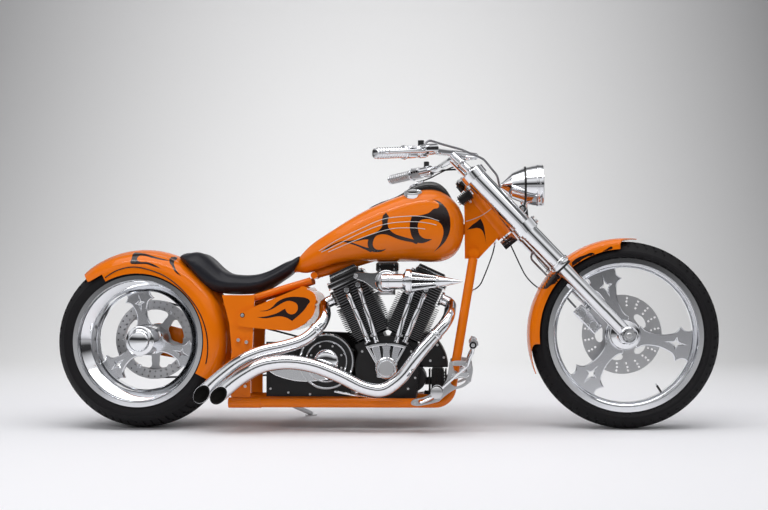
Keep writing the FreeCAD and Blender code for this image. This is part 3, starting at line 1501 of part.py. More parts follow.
def front_axle():
    half = s.fork_spread.value / 2 + s.axle_boss_width.value / 2
    shaft = rod(front_centre - at(0, half, 0), front_centre + at(0, half, 0), s.front_axle_radius)
    spacers = []
    for side in (-1, 1):
        inner = front_centre + at(0, side * (s.front_hub_width.value / 2 + s.seat_gap.value), 0)
        outer = leg_point(0, side, s.axle_boss_width / 2 + s.seat_gap)
        nut_low = leg_point(0, side, -s.axle_boss_width / 2 - s.seat_gap)
        spacers.append(rod(inner, outer, s.front_axle_radius * 1.6))
        spacers.append(rod(nut_low, nut_low + at(0, side * s.front_axle_radius.value, 0),
                           s.front_axle_radius * 1.5))
    shaft = shaft.fuse([rod(front_centre, front_centre + at(0, side * (half + s.seat_gap.value * 4), 0),
                            s.front_axle_radius) for side in (-1, 1)])
    feature("front_axle", shaft.fuse(spacers).removeSplitter())


def handlebar_points(side):
    return [at(s.bar_apex_forward, 0, s.riser_top_height),
            at(s.riser_top_forward, side * s.riser_spread / 2, s.riser_top_height),
            at(s.grip_end_forward + s.grip_length * 1.65, side * s.grip_end_spread * 0.64,
               s.grip_end_height + s.grip_radius * 1.5),
            at(s.grip_end_forward, side * s.grip_end_spread, s.grip_end_height)]


def handlebar():
    parts = []
    for side in (-1, 1):
        points = handlebar_points(side)
        parts.append(bent_tube(points, s.bar_radius, s.bar_bend_radius))
        foot = leg_point(s.leg_length, side) + leg_up * s.seat_gap.value
        cap = foot + leg_up * s.riser_radius.value
        parts.append(rod(foot, cap, s.cover_radius * 0.9, s.riser_radius * 1.3))
        parts.append(rod(foot + leg_up * s.riser_radius.value * 0.4, points[1], s.riser_radius))
    knuckle = at(s.bar_apex_forward, 0, s.riser_top_height)
    parts.append(Part.makeSphere(float(s.bar_radius), knuckle))
    feature("handlebar", parts[0].fuse(parts[1:]).removeSplitter())


def control(label, side):
    points = handlebar_points(side)
    end = points[-1]
    run = (points[-2] - end).normalize()
    hole = s.bar_radius + s.seat_gap
    grip = rod(end, end + run * s.grip_length.value, s.grip_radius)
    switch_start = end + run * (s.grip_length.value)
    switch = rod(switch_start, switch_start + run * s.switch_length.value, s.perch_radius)
    perch_start = switch_start + run * s.switch_length.value
    perch = rod(perch_start, perch_start + run * s.perch_length.value, s.perch_radius * 1.05)
    boss_base = perch_start + run * s.perch_length.value * 0.5
    boss = rod(boss_base, boss_base + at(0, 0, s.perch_radius + s.mirror_boss_height), s.mirror_boss_radius)
    forward = run.cross(at(0, 0, 1)).normalize()
    if forward.x < 0:
        forward = forward * -1
    pivot = perch_start + forward * s.lever_gap.value * 0.7
    arm = rod(perch_start + run * s.perch_length.value * 0.5, pivot + run * s.perch_length.value * 0.5,
              s.mirror_boss_radius)
    tip = end + forward * s.lever_gap.value + run * s.grip_length.value * 0.1
    lever = rod(pivot + run * s.perch_length.value * 0.5, tip, s.lever_radius)
    solid = grip.fuse([switch, perch, boss, arm, lever])
    solid = solid.cut(rod(end - run * s.overrun.value,
                          perch_start + run * (s.perch_length.value + s.overrun.value), hole))
    top = boss_base + at(0, 0, s.perch_radius + s.mirror_boss_height)
    solid = solid.cut(rod(top - at(0, 0, s.mirror_boss_height), top + at(0, 0, s.overrun),
                          s.mirror_hole_radius))
    feature(label, solid.removeSplitter())


# Turns of the brake hose on its way down: rise over the stem's middle as a share of the lower clamp's drop,
# forward of the stem as a share of the headlight's, and left of the middle as a share of half the fork's spread
hose_high_shares = [
    (2.03, 0.15, -2.07), (1.69, 0.45, -1.65), (1.16, 0.79, -1.13), (0.60, 0.83, -0.70), (0.18, 0.65, -0.35),
    (-0.08, 0.53, 0.22), (-0.56, 0.73, 0.45), (-1.00, 0.85, 0.45), (-1.38, 0.73, 0.50), (-1.60, 0.44, 0.57),
]
# Then behind the left leg: length up it as a share of its lower part, back in leg radii, and left as before
hose_low_shares = [(1.26, 1.39, 0.74), (1.17, 1.33, 0.98), (0.74, 1.33, 0.98)]


def brake_hose():
    """From the right perch, ahead of the bar and behind the headlight, to the caliper."""
    points = handlebar_points(-1)
    run = (points[-2] - points[-1]).normalize()
    perch = points[-1] + run * (s.grip_length.value + s.switch_length.value)
    start = perch + run * (s.perch_length.value * 0.72)
    route = [start, start + (run * 0.36 + at(0, 0, 0.96)) * s.perch_length.value]
    for rise, ahead, left in hose_high_shares:
        route.append(stem_point(s.clamp_drop * rise, s.headlight_ahead * ahead, s.fork_spread / 2 * left))
    for length, back, left in hose_low_shares:
        turn = leg_point(s.leg_step_length * length, 1, s.fork_spread / 2 * (1 - left))
        route.append(turn - leg_forward * (s.leg_radius.value * back))
    port = caliper_middle() + leg_up * (s.caliper_length.value * 0.35)
    port.y = front_disc_seat.value + s.caliper_width.value * 0.4
    route.extend([port + leg_up * (s.caliper_length.value * 0.45), port])
    hose = bent_tube(route, s.hose_radius, s.hose_bend_radius)
    socket = rod(perch, perch + run * s.perch_length.value, s.perch_radius * 1.05 + s.seat_gap)
    feature("brake_hose", hose.cut(socket).cut(caliper_block(s.seat_gap.value)))


def headlight_back():
    """A fixed way ahead of the steering stem at the light's height."""
    slope = sine(s.rake_angle) / cosine(s.rake_angle)
    return s.neck_forward - (s.headlight_height - s.neck_height) * slope + s.headlight_ahead


# Outline of the headlight shell: along its length from the back, and out, as shares
headlight_shares = [(0, 0), (0.02, 0.16), (0.25, 0.62), (0.55, 0.88), (0.85, 1), (1, 1)]


def headlight_envelope():
    """The shell's outside, grown by the seat gap, as a solid."""
    gap = s.seat_gap.value
    long = s.headlight_length.value
    axis = at(headlight_back(), 0, s.headlight_height)
    corners = [axis + at(long * along - gap, 0, s.headlight_radius * out + gap)
               for along, out in headlight_shares]
    corners = [corners[0] - at(0, 0, gap)] + corners + [axis + at(long, 0, 0)]
    return Part.Face(Part.makePolygon(corners + corners[:1])).revolve(axis, Vector(1, 0, 0), 360)


def headlight():
    body = new_body("headlight")
    back = headlight_back()
    long = s.headlight_length
    radius, wall = s.headlight_radius, s.headlight_wall
    outside = [(back + long * along, radius * out) for along, out in headlight_shares]
    inside = [(back + long * along, radius * out - wall) for along, out in reversed(headlight_shares[2:])]
    spun(body, "Revolution", "headlight_shell", outside + inside + [(back + long * 0.06, 0)], "XZ_Plane")
    keep(body, "headlight", Placement(at(0, 0, s.headlight_height), Rotation()))


def headlight_lens():
    middle = at(headlight_back() + s.headlight_length - s.headlight_rim, 0, s.headlight_height)
    reach = s.headlight_radius - s.headlight_wall - s.seat_gap
    feature("headlight_lens", rod(middle, middle + at(s.lens_thickness, 0, 0), reach))


def caliper_middle():
    """Behind the left leg, over the disc's edge."""
    return front_centre + leg_up * s.front_disc_radius.value * 0.86 - leg_forward * s.caliper_reach.value * 1.15


def caliper_block(gap):
    middle = caliper_middle()
    half = s.caliper_length.value / 2 + gap
    reach = s.caliper_reach.value / 2 + gap
    forward = leg_forward
    corners = [middle - leg_up * half - forward * reach, middle + leg_up * half - forward * reach,
               middle + leg_up * half + forward * reach, middle - leg_up * half + forward * reach]
    low = front_disc_seat.value - s.caliper_width.value * 0.3
    return prism([(p.x, p.z) for p in corners], low - gap, low + s.caliper_width.value + gap)


def front_caliper():
    middle = caliper_middle()
    y_high = front_disc_seat.value + s.caliper_width.value * 0.7
    half = s.caliper_length.value / 2
    reach = s.caliper_reach.value / 2
    block = caliper_block(0)
    slot = rod(front_centre + at(0, front_disc_seat - s.front_disc_thickness, 0),
               front_centre + at(0, front_disc_seat + s.front_disc_thickness * 2, 0),
               s.front_disc_radius + s.front_disc_thickness)
    lugs = []
    for share in (-0.6, 0.6):
        seat = leg_point(s.front_disc_radius * 0.86 + s.caliper_length * share / 2, 1)
        lugs.append(rod(Vector(middle.x, y_high - reach / 2, middle.z) + leg_up * (half * share), seat,
                        reach * 0.4))
    leg = rod(leg_point(0, 1), leg_point(s.leg_step_length, 1), s.slider_radius + s.seat_gap)
    feature("front_caliper", block.fuse(lugs).cut(slot).cut(leg).removeSplitter())


# Foot controls
def forward_control(label, side):
    y = s.control_offset.value
    half = s.control_thickness.value / 2
    x, z = s.peg_forward.value, s.peg_height.value
    reach = s.peg_length.value
    shares = [(0.40, 0.95), (1.12, 0.92), (1.10, 0.30), (0.55, 0.02), (0.05, -0.36), (-0.75, -0.48),
              (-0.80, -0.32),
              (-0.10, -0.05), (0.30, 0.35)]
    plate = prism([(x + reach * along, z + reach * up) for along, up in shares], y - half, y + half)
    peg = rod(at(x, y, z), at(x, y + half + reach, z), s.peg_radius)
    inner = rod(at(x + reach * 0.55, s.rail_spread - s.cradle_tube_radius * 0.5, z + reach * 0.5),
                at(x + reach * 0.55, y, z + reach * 0.5), s.peg_radius * 0.8)
    top, lower, back = cradle_route(1)
    tube = rod(lower, top, s.cradle_tube_radius + s.seat_gap)
    shape = plate.fuse([peg, pedal(), inner.cut(tube)]).removeSplitter()
    feature(label, shape if side > 0 else mirrored(shape))


def pedal():
    y = s.control_offset.value
    radius = s.pedal_rod_radius.value
    x = s.peg_forward.value + s.peg_length.value
    z = s.peg_height.value + s.peg_length.value * 0.8
    arm = rod(at(x, y, z), at(x, y + radius * 3.4, z), radius * 1.7)
    arm = arm.fuse([rod(at(x, y + radius * 2, z),
                        at(x + radius * 3, y + radius * 2, z + s.peg_length * 0.7), radius),
                    rod(at(x + radius * 3, y + radius * 2, z + s.peg_length * 0.7),
                        at(x + radius * 3, y + s.peg_length.value, z + s.peg_length * 0.7),
                        s.pedal_pad_radius * 1.05)])
    return arm


# Side stand: hinged under the left rail, foot slightly forward so the weight holds it on its stop
def stand_pivot():
    return at(s.stand_pivot_forward, s.stand_pivot_spread, s.stand_pivot_height)


def ground_height(spread):
    return float(spread) * math.tan(math.radians(s.lean_angle.value))


def stand_axis():
    foot = at(s.stand_reach_forward, s.stand_reach_out,
              ground_height(s.stand_pivot_spread + s.stand_reach_out) - s.stand_pivot_height.value)
    folded = at(-s.stand_reach_out, s.stand_reach_out * 0.22, 0)
    return foot.cross(folded).normalize(), foot


def stand_leg():
    axis, foot = stand_axis()
    pivot = stand_pivot()
    ground = pivot + foot
    normal = Vector(0, -sine(s.lean_angle), cosine(s.lean_angle))
    pad = Part.makeCylinder(s.stand_foot_radius.value, s.stand_foot_thickness.value, ground, normal)
    leg = rod(pivot, ground + normal * s.stand_leg_radius.value, s.stand_leg_radius)
    half = s.stand_hub_height.value / 2
    hub = rod(pivot - axis * half, pivot + axis * half, s.stand_hub_radius)
    bore = rod(pivot - axis * (half + s.overrun.value), pivot + axis * (half + s.overrun.value),
               s.stand_pin_radius + s.running_gap)
    feature("stand_leg", pad.fuse([leg, hub]).cut(bore).removeSplitter())


def stand_bracket():
    axis, foot = stand_axis()
    pivot = stand_pivot()
    half = s.stand_hub_height.value / 2
    pin = rod(pivot - axis * half, pivot + axis * (half + s.stand_hub_height.value * 0.6),
              s.stand_pin_radius)
    base = pivot + axis * (half + s.seat_gap.value * 2)
    thick = s.stand_hub_height.value * 0.5
    ear = rod(base, base + axis * thick, s.stand_hub_radius)
    start = base + axis * (thick / 2)
    rail = at(start.x, s.rail_spread, s.rail_height)
    tube = rod(rail - at(s.overrun, 0, 0), rail + at(s.overrun, 0, 0), s.cradle_tube_radius + s.seat_gap)
    hub = rod(pivot - axis * half, base - axis * s.seat_gap.value, s.stand_hub_radius + s.seat_gap)
    web = rod(start, rail, thick * 0.8).cut(tube).cut(hub)
    feature("stand_bracket", pin.fuse([ear, web.Solids[0]]).removeSplitter())


def main():
    front_tyre()
    rear_tyre()
    front_wheel()
    rear_wheel()
    front_disc()
    rear_pulley()
    swingarm()
    rear_caliper()
    rear_fender()
    front_fender()
    backbone()
    for name, side in (("right", -1), ("left", 1)):
        cradle_tube("cradle_tube_" + name, side)
    pivot_plates()
    seat_rails()
    fuel_tank()
    tank_fittings()
    seat()
    oil_tank()
    crankcase()
    for name, side in (("rear", -1), ("front", 1)):
        cylinder("cylinder_" + name, side)
        head("head_" + name, side)
    cam_cover()
    pushrod_tubes()
    intake()
    air_cleaner()
    regulator()
    gearbox()
    gearbox_cover()
    drive_belt()
    primary_cover()
    exhausts()
    top_clamp()
    lower_clamp()
    for name, side in (("right", -1), ("left", 1)):
        fork_leg("fork_leg_" + name, side)
    front_axle()
    handlebar()
    control("control_right", -1)
    control("control_left", 1)
    headlight()
    headlight_lens()
    front_caliper()
    brake_hose()
    for name, side in (("right", -1), ("left", 1)):
        forward_control("forward_control_" + name, side)
    stand_bracket()
    stand_leg()


def write():
    doc.recompute()
    for item in doc.Objects:
        if "Invalid" in item.State or "Error" in item.State:
            raise RuntimeError("failed: " + item.Label)
    os.makedirs("parts", exist_ok=True)
    for part in made:
        if part.Shape.isNull() or not part.Shape.isValid():
            raise RuntimeError("bad shape: " + part.Label)
        part.Shape.exportStep("parts/%s.step" % part.Label)
        print(part.Label, len(part.Shape.Solids), round(part.Shape.Volume))


main()
write()
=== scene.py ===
import json
import math

import bmesh
import bpy
from mathutils import Matrix, Vector
from mathutils.bvhtree import BVHTree


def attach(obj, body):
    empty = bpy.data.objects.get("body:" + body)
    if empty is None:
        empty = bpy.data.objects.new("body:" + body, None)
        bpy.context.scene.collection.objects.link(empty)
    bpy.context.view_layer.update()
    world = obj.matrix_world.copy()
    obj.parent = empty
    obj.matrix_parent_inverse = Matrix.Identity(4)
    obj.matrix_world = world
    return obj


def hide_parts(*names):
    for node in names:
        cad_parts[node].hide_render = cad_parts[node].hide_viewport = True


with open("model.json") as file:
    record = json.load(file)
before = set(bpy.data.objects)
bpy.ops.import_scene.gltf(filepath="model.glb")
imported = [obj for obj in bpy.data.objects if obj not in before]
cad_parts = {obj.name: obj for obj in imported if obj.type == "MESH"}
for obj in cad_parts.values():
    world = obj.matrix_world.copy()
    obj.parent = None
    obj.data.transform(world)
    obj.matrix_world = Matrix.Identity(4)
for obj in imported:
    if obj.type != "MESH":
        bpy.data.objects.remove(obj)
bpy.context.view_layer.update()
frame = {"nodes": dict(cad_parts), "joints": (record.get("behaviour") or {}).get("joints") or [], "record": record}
nodes = frame["nodes"]
joints = {joint["name"]: joint for joint in frame["joints"]}

# Bike frame: x forward from the rear axle, y to the left, z up from the ground, upright.
# Pieces are shaped there in millimetres, and toRow leans them as the machine leans on its stand.
millimetre = 0.001
rearAxleHeight = 0.3252
forward = (1, 0, 0)
toLeft = (0, 1, 0)
toRight = (0, -1, 0)
sides = ((-1, "right"), (1, "left"))


def frameMatrix(origin, *axes):
    matrix = Matrix(axes).transposed().to_4x4()
    matrix.translation = Vector(origin)
    return matrix


def jointPlace(name):
    return Vector(joints[name]["pos_m"])


def bikeMatrix():
    across = Vector(joints["rear_wheel_spin"]["axis"]).normalized()
    up = Vector(forward).cross(across)
    return frameMatrix(jointPlace("rear_wheel_spin") - up * rearAxleHeight, forward, across, up)


toRow = bikeMatrix()
pieceToRow = toRow @ Matrix.Scale(millimetre, 4)
rowToPiece = pieceToRow.inverted()
rearAxle = rowToPiece @ jointPlace("rear_wheel_spin")
frontAxle = rowToPiece @ jointPlace("front_wheel_spin")


# Shader maths as Python expressions
class Wire:
    def __init__(self, graph, socket):
        self.graph = graph
        self.socket = socket

    def maths(self, operation, other, flipped=False):
        first, second = (other, self) if flipped else (self, other)
        return self.graph.node("Math", {"operation": operation}, {0: first, 1: second})["Value"]

    def __add__(self, other):
        return self.maths("ADD", other)

    def __radd__(self, other):
        return self.maths("ADD", other)

    def __sub__(self, other):
        return self.maths("SUBTRACT", other)

    def __rsub__(self, other):
        return self.maths("SUBTRACT", other, flipped=True)

    def __mul__(self, other):
        return self.maths("MULTIPLY", other)

    def __truediv__(self, other):
        return self.maths("DIVIDE", other)

    def atLeast(self, other):
        return self.maths("MAXIMUM", other)

    def clamped(self):
        return self.graph.node("Clamp", {}, {"Value": self})["Result"]


class Outputs:
    def __init__(self, graph, made):
        self.graph = graph
        self.made = made

    def __getitem__(self, name):
        return Wire(self.graph, self.made.outputs[name])


# The nodes of a material or of the world: node() adds any node and gives its outputs
class Graph:
    def __init__(self, tree):
        self.tree = tree
        tree.nodes.clear()

    def node(self, kind, settings=None, values=None):
        made = self.tree.nodes.new("ShaderNode" + kind)
        for key, value in (settings or {}).items():
            setattr(made, key, value)
        for key, value in (values or {}).items():
            self.feed(made.inputs[key], value)
        return Outputs(self, made)

    def feed(self, socket, value):
        if isinstance(value, Wire):
            self.tree.links.new(value.socket, socket)
        elif socket.type == "RGBA":
            socket.default_value = (*value, 1.0)
        else:
            socket.default_value = value

    def mixShader(self, share, first, second):
        return self.node("MixShader", {}, {0: share, 1: first, 2: second})["Shader"]


# One material: close() ends it with a Principled shader
class Paint(Graph):
    def __init__(self, name):
        self.material = bpy.data.materials.new(name)
        self.material.use_nodes = True
        super().__init__(self.material.node_tree)
        self.place = self.node("TexCoord")["Object"]

    def noise(self, scale, detail=3.0):
        return self.node("TexNoise", {}, {
            "Vector": self.place, "Scale": scale, "Detail": detail, "Roughness": 0.55})["Fac"]

    def wave(self, direction, scale, distortion=0.0):
        return self.node("TexWave", {"wave_type": "BANDS", "bands_direction": direction}, {
            "Vector": self.place, "Scale": scale, "Distortion": distortion})["Fac"]

    def mix(self, share, first, second):
        return self.node("Mix", {"data_type": "RGBA"}, {"Factor": share, 6: first, 7: second})[2]

    def bump(self, height, strength, distance):
        return self.node("Bump", {}, {"Height": height, "Strength": strength, "Distance": distance})["Normal"]

    def close(self, **values):
        named = {key.replace("_", " "): value for key, value in values.items()}
        shader = self.node("BsdfPrincipled", {}, named)
        self.node("OutputMaterial", {}, {"Surface": shader["BSDF"]})
        return self.material


def metalFinish(name, colour, rough, spread, grain, grainStrength):
    paint = Paint(name)
    smear = paint.noise(38.0, 4.0)
    dull = tuple(part * 0.86 for part in colour)
    return paint.close(
        Base_Color=paint.mix(smear * 0.35, colour, dull), Metallic=1.0, Roughness=rough + smear * spread,
        Normal=paint.bump(paint.noise(grain, 2.0), grainStrength, 0.0004))


def coatedFinish(name, colour, darker, rough, grain, grainStrength, coat=0.0, shine=0.5):
    paint = Paint(name)
    cloud = paint.noise(16.0)
    return paint.close(
        Base_Color=paint.mix(cloud, colour, darker), Roughness=rough + cloud * 0.08, Specular_IOR_Level=shine,
        Normal=paint.bump(paint.noise(grain, 2.0), grainStrength, 0.0005), Coat_Weight=coat,
        Coat_Roughness=0.04)


def orangePaint():
    paint = Paint("orange_paint")
    cloud = paint.noise(6.0, 2.0)
    fleck = paint.noise(900.0, 1.0)
    return paint.close(
        Base_Color=paint.mix(cloud, (0.80, 0.182, 0.002), (0.66, 0.135, 0.001)), Roughness=0.4 + fleck * 0.05,
        Specular_IOR_Level=0.05, Coat_Weight=0.8, Coat_IOR=1.36, Coat_Roughness=0.025,
        Normal=paint.bump(fleck, 0.02, 0.0002))


def braidFinish():
    paint = Paint("steel_braid")
    wave = paint.wave("DIAGONAL", 180.0, 0.4)
    return paint.close(
        Base_Color=paint.mix(wave, (0.10, 0.10, 0.11), (0.42, 0.42, 0.44)), Metallic=0.9,
        Roughness=0.3 + wave * 0.1, Normal=paint.bump(wave, 0.4, 0.0006))


# Clear glass with a faint fluting up and down and a little road film
def glassFinish():
    paint = Paint("lens_glass")
    film = paint.noise(60.0)
    return paint.close(
        Base_Color=paint.mix(film, (0.93, 0.95, 0.97), (0.86, 0.88, 0.90)), Roughness=0.03 + film * 0.05,
        Transmission_Weight=0.85, IOR=1.45, Coat_Weight=0.3,
        Normal=paint.bump(paint.wave("Y", 28.0), 0.25, 0.001))


print("materials")
chrome = metalFinish("chrome_plate", (0.86, 0.87, 0.89), 0.035, 0.05, 420.0, 0.012)
brushed = metalFinish("brushed_metal", (0.66, 0.66, 0.67), 0.26, 0.14, 700.0, 0.08)
castAlloy = metalFinish("cast_alloy", (0.55, 0.55, 0.56), 0.34, 0.16, 320.0, 0.22)
finEdge = metalFinish("fin_edge", (0.30, 0.30, 0.31), 0.34, 0.1, 500.0, 0.1)
polished = metalFinish("polished_alloy", (0.80, 0.81, 0.84), 0.13, 0.08, 600.0, 0.02)
engineBlack = coatedFinish(
    "engine_black", (0.008, 0.008, 0.009), (0.014, 0.013, 0.013), 0.36, 520.0, 0.2, shine=0.32)
glossBlack = coatedFinish(
    "gloss_black", (0.006, 0.006, 0.006), (0.010, 0.009, 0.009), 0.2, 700.0, 0.02, 0.8, shine=0.2)
rubber = coatedFinish(
    "tyre_rubber", (0.006, 0.006, 0.007), (0.012, 0.011, 0.012), 0.6, 380.0, 0.35, shine=0.16)
soot = coatedFinish("pipe_soot", (0.004, 0.004, 0.004), (0.010, 0.009, 0.008), 0.75, 200.0, 0.3, shine=0.1)
paintOrange = orangePaint()
leather = coatedFinish(
    "seat_leather", (0.007, 0.007, 0.010), (0.013, 0.013, 0.018), 0.38, 260.0, 0.5, shine=0.22)
flamePaint = coatedFinish(
    "flame_paint", (0.008, 0.004, 0.004), (0.016, 0.006, 0.005), 0.24, 800.0, 0.02, 0.5, shine=0.2)
stripePaint = coatedFinish("stripe_paint", (0.55, 0.53, 0.52), (0.45, 0.43, 0.42), 0.30, 800.0, 0.02, 1.0)
braid = braidFinish()
glass = glassFinish()

slotFinish = {
    "tyre": rubber, "chrome": chrome, "steel": brushed, "alloy": castAlloy, "paint": paintOrange,
    "frame_paint": paintOrange, "engine_black": engineBlack, "black_plastic": glossBlack,
    "seat_cover": leather, "belt": rubber, "lens": glass,
}
for entry in frame["record"]["subparts"]:
    data = nodes[entry["node"]].data
    data.materials.clear()
    data.materials.append(braid if entry["node"] == "brake_hose" else slotFinish[entry["material_slot"]])


# Shaping helpers, all in millimetres in the bike frame
def facing(centre, direction):
    matrix = Vector(direction).to_track_quat("Z", "Y").to_matrix().to_4x4()
    matrix.translation = Vector(centre)
    return matrix


def sideways(centre):
    matrix = Matrix(((1, 0, 0), (0, 0, -1), (0, 1, 0))).to_4x4()   # local x forward, y up, z to the right
    matrix.translation = Vector(centre)
    return matrix


def moved(*offset):
    return Matrix.Translation(offset)


def weld(bm, distance=0.01):
    bmesh.ops.remove_doubles(bm, verts=bm.verts, dist=distance)


def facesOut(bm):
    bmesh.ops.recalc_face_normals(bm, faces=bm.faces)


def cutAt(bm, place, normal, **cleared):
    bmesh.ops.bisect_plane(bm, geom=bm.verts[:] + bm.edges[:] + bm.faces[:], plane_co=place, plane_no=normal,
                           **cleared)


def meshOf(bm, name="part"):
    data = bpy.data.meshes.new(name)
    bm.to_mesh(data)
    bm.free()
    return data


def addObject(name, data):
    made = bpy.data.objects.new(name, data)
    bpy.context.collection.objects.link(made)
    return made


def bevelSharp(bm, width):
    limit = math.radians(30)
    edges = [edge for edge in bm.edges if len(edge.link_faces) == 2 and edge.calc_face_angle(0) > limit]
    bmesh.ops.bevel(bm, geom=edges, offset=width, affect="EDGES", segments=2, profile=0.5, material=-1,
                    clamp_overlap=True)


def rodPart(start, stop, radius, stopRadius=None, sides=36, bevel=0.0):
    start, stop = Vector(start), Vector(stop)
    run = stop - start
    bm = bmesh.new()
    bmesh.ops.create_cone(bm, cap_ends=True, segments=sides, radius1=radius,
                          radius2=radius if stopRadius is None else stopRadius, depth=run.length)
    if bevel:
        bevelSharp(bm, bevel)
    bm.transform(facing((start + stop) / 2, run))
    return bm


def cubeShape(*size):
    bm = bmesh.new()
    bmesh.ops.create_cube(bm, size=1.0)
    bmesh.ops.scale(bm, vec=size, verts=bm.verts)
    return bm


def boxPart(size, matrix, bevel=0.0):
    bm = cubeShape(*size)
    if bevel:
        bevelSharp(bm, bevel)
    bm.normal_update()
    for face in bm.faces:
        face.smooth = max(abs(part) for part in face.normal) < 0.99
    bm.transform(matrix)
    return bm


# Profile points are (along, radius), joined into a ring round the axis
def turnedPart(profile, matrix, steps=72):
    bm = bmesh.new()
    verts = [bm.verts.new((radius, 0, along)) for along, radius in profile]
    edges = [bm.edges.new(pair) for pair in zip(verts, verts[1:] + verts[:1])]
    bmesh.ops.spin(bm, geom=verts + edges, axis=(0, 0, 1), cent=(0, 0, 0), steps=steps, angle=math.tau,
                   use_merge=True)
    weld(bm)
    facesOut(bm)
    bm.transform(matrix)
    return bm


def flipped(profile):
    return [(-along, radius) for along, radius in reversed(profile)]


def curveMesh(curve):
    holder = bpy.data.objects.new("sketch", curve)
    data = bpy.data.meshes.new_from_object(holder)
    bm = bmesh.new()
    bm.from_mesh(data)
    bpy.data.objects.remove(holder)
    bpy.data.meshes.remove(data)
    bpy.data.curves.remove(curve)
    return bm


# Outline points are (along, up), with a 1 added at a sharp corner
def flatCurve(outlines, steps=8):
    curve = bpy.data.curves.new("outline", "CURVE")
    curve.dimensions = "2D"
    curve.fill_mode = "BOTH"
    curve.resolution_u = steps
    for outline in outlines:
        spline = curve.splines.new("BEZIER")
        spline.bezier_points.add(len(outline) - 1)
        spline.use_cyclic_u = True
        for point, place in zip(spline.bezier_points, outline):
            point.co = (place[0], place[1], 0)
            kind = "VECTOR" if len(place) > 2 else "AUTO"
            point.handle_left_type = kind
            point.handle_right_type = kind
    return curve


def platePart(outlines, thickness, matrix, bevel=0.0, steps=8):
    curve = flatCurve(outlines, steps)
    curve.extrude = thickness / 2 - bevel
    curve.bevel_depth = bevel
    curve.offset = -bevel
    curve.bevel_resolution = 1
    bm = curveMesh(curve)
    weld(bm)
    bm.normal_update()
    for face in bm.faces:
        face.smooth = abs(face.normal.z) < 0.99
    bm.transform(matrix)
    return bm


# A flat plate that stands along the machine: outlines in (forward, up), between two distances to the right
def sidePlate(outlines, low, high, bevel=1.5, steps=8):
    return platePart(outlines, high - low, sideways((0, -(low + high) / 2, 0)), bevel, steps)


def runCurve(points, order, steps):
    curve = bpy.data.curves.new("run", "CURVE")
    curve.dimensions = "3D"
    curve.resolution_u = steps
    spline = curve.splines.new("NURBS")
    spline.points.add(len(points) - 1)
    for point, place in zip(spline.points, points):
        point.co = (*place, 1)
    spline.order_u = order
    spline.use_endpoint_u = True
    return curve


def wirePart(points, radius, steps=12, sides=3):
    curve = runCurve(points, 3, steps)
    curve.bevel_depth = radius
    curve.bevel_resolution = sides
    curve.use_fill_caps = True
    bm = curveMesh(curve)
    weld(bm)
    facesOut(bm)
    return bm


def boltPart(centre, direction, radius=5.0, height=4.5, sides=6):
    centre, direction = Vector(centre), Vector(direction).normalized()
    start, stop = centre - direction * 1.5, centre + direction * height
    return rodPart(start, stop, radius, sides=sides, bevel=radius * 0.14)


def washerPart(centre, direction, radius):
    centre, direction = Vector(centre), Vector(direction).normalized()
    return rodPart(centre - direction, centre + direction * 1.6, radius, radius * 0.94, 20)


def circle(radius, centre=(0, 0), count=8, start=0.0):
    turns = [start + math.tau * step / count for step in range(count)]
    return [(centre[0] + radius * math.cos(turn), centre[1] + radius * math.sin(turn)) for turn in turns]


def nodeShape(node):
    bm = bmesh.new()
    bm.from_mesh(nodes[node].data)
    weld(bm, 0.00002)
    bm.transform(rowToPiece)
    bm.normal_update()
    return bm


# A visible piece: parts are joined, each with one of the piece's finishes or with the indexes that its faces
# bring, then the piece is put in its place on its body
class Piece:
    def __init__(self, name, body, slot, *finishes):
        self.name, self.body, self.slot, self.finishes = name, body, slot, finishes
        self.bm = bmesh.new()

    def join(self, part, finish=None, place=None):
        if place:
            part.transform(place)
            if place.determinant() < 0:
                bmesh.ops.reverse_faces(part, faces=part.faces)
        fresh = not any(face.smooth for face in part.faces)
        for face in part.faces:
            if fresh:
                face.smooth = len(face.verts) <= 4   # end caps stay flat
            if finish:
                face.material_index = self.finishes.index(finish)
        data = meshOf(part)
        self.bm.from_mesh(data)
        bpy.data.meshes.remove(data)

    def bolts(self, finish, direction, spots, radius, height, sides=6):
        for spot in spots:
            self.join(boltPart(spot, direction, radius, height, sides), finish)

    # bolts on an upright plane at y, facing away from the machine's middle, at (forward, up)
    def sideBolts(self, finish, y, spots, radius, height, sides=6):
        self.bolts(finish, (0, y, 0), [(x, y, z) for x, z in spots], radius, height, sides)

    def done(self, *replaced, sharp=34):
        self.bm.transform(pieceToRow)
        smooth = [face.smooth for face in self.bm.faces]
        data = meshOf(self.bm, self.name)
        for finish in self.finishes:
            data.materials.append(finish)
        data.set_sharp_from_angle(angle=math.radians(sharp))
        data.polygons.foreach_set("use_smooth", smooth)
        piece = addObject(self.name, data)
        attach(piece, self.body)
        if replaced:
            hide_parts(*replaced)
        return piece


print("wheels")
# One side of a blade as (out from the axle, aside), and the star cut in it as shares of its reach
bladeSide = [(58, 40), (76, 30), (100, 24), (131, 24), (155, 30), (176, 40), (184, 50, 1), (190, 66, 1),
             (201, 57), (214, 52), (226, 56), (238, 78, 1)]
bladeStar = [(0, 1, 1), (0.24, 0.2), (0.62, 0, 1), (0.24, -0.2), (0, -1, 1), (-0.24, -0.2), (-0.62, 0, 1),
             (-0.24, 0.2)]
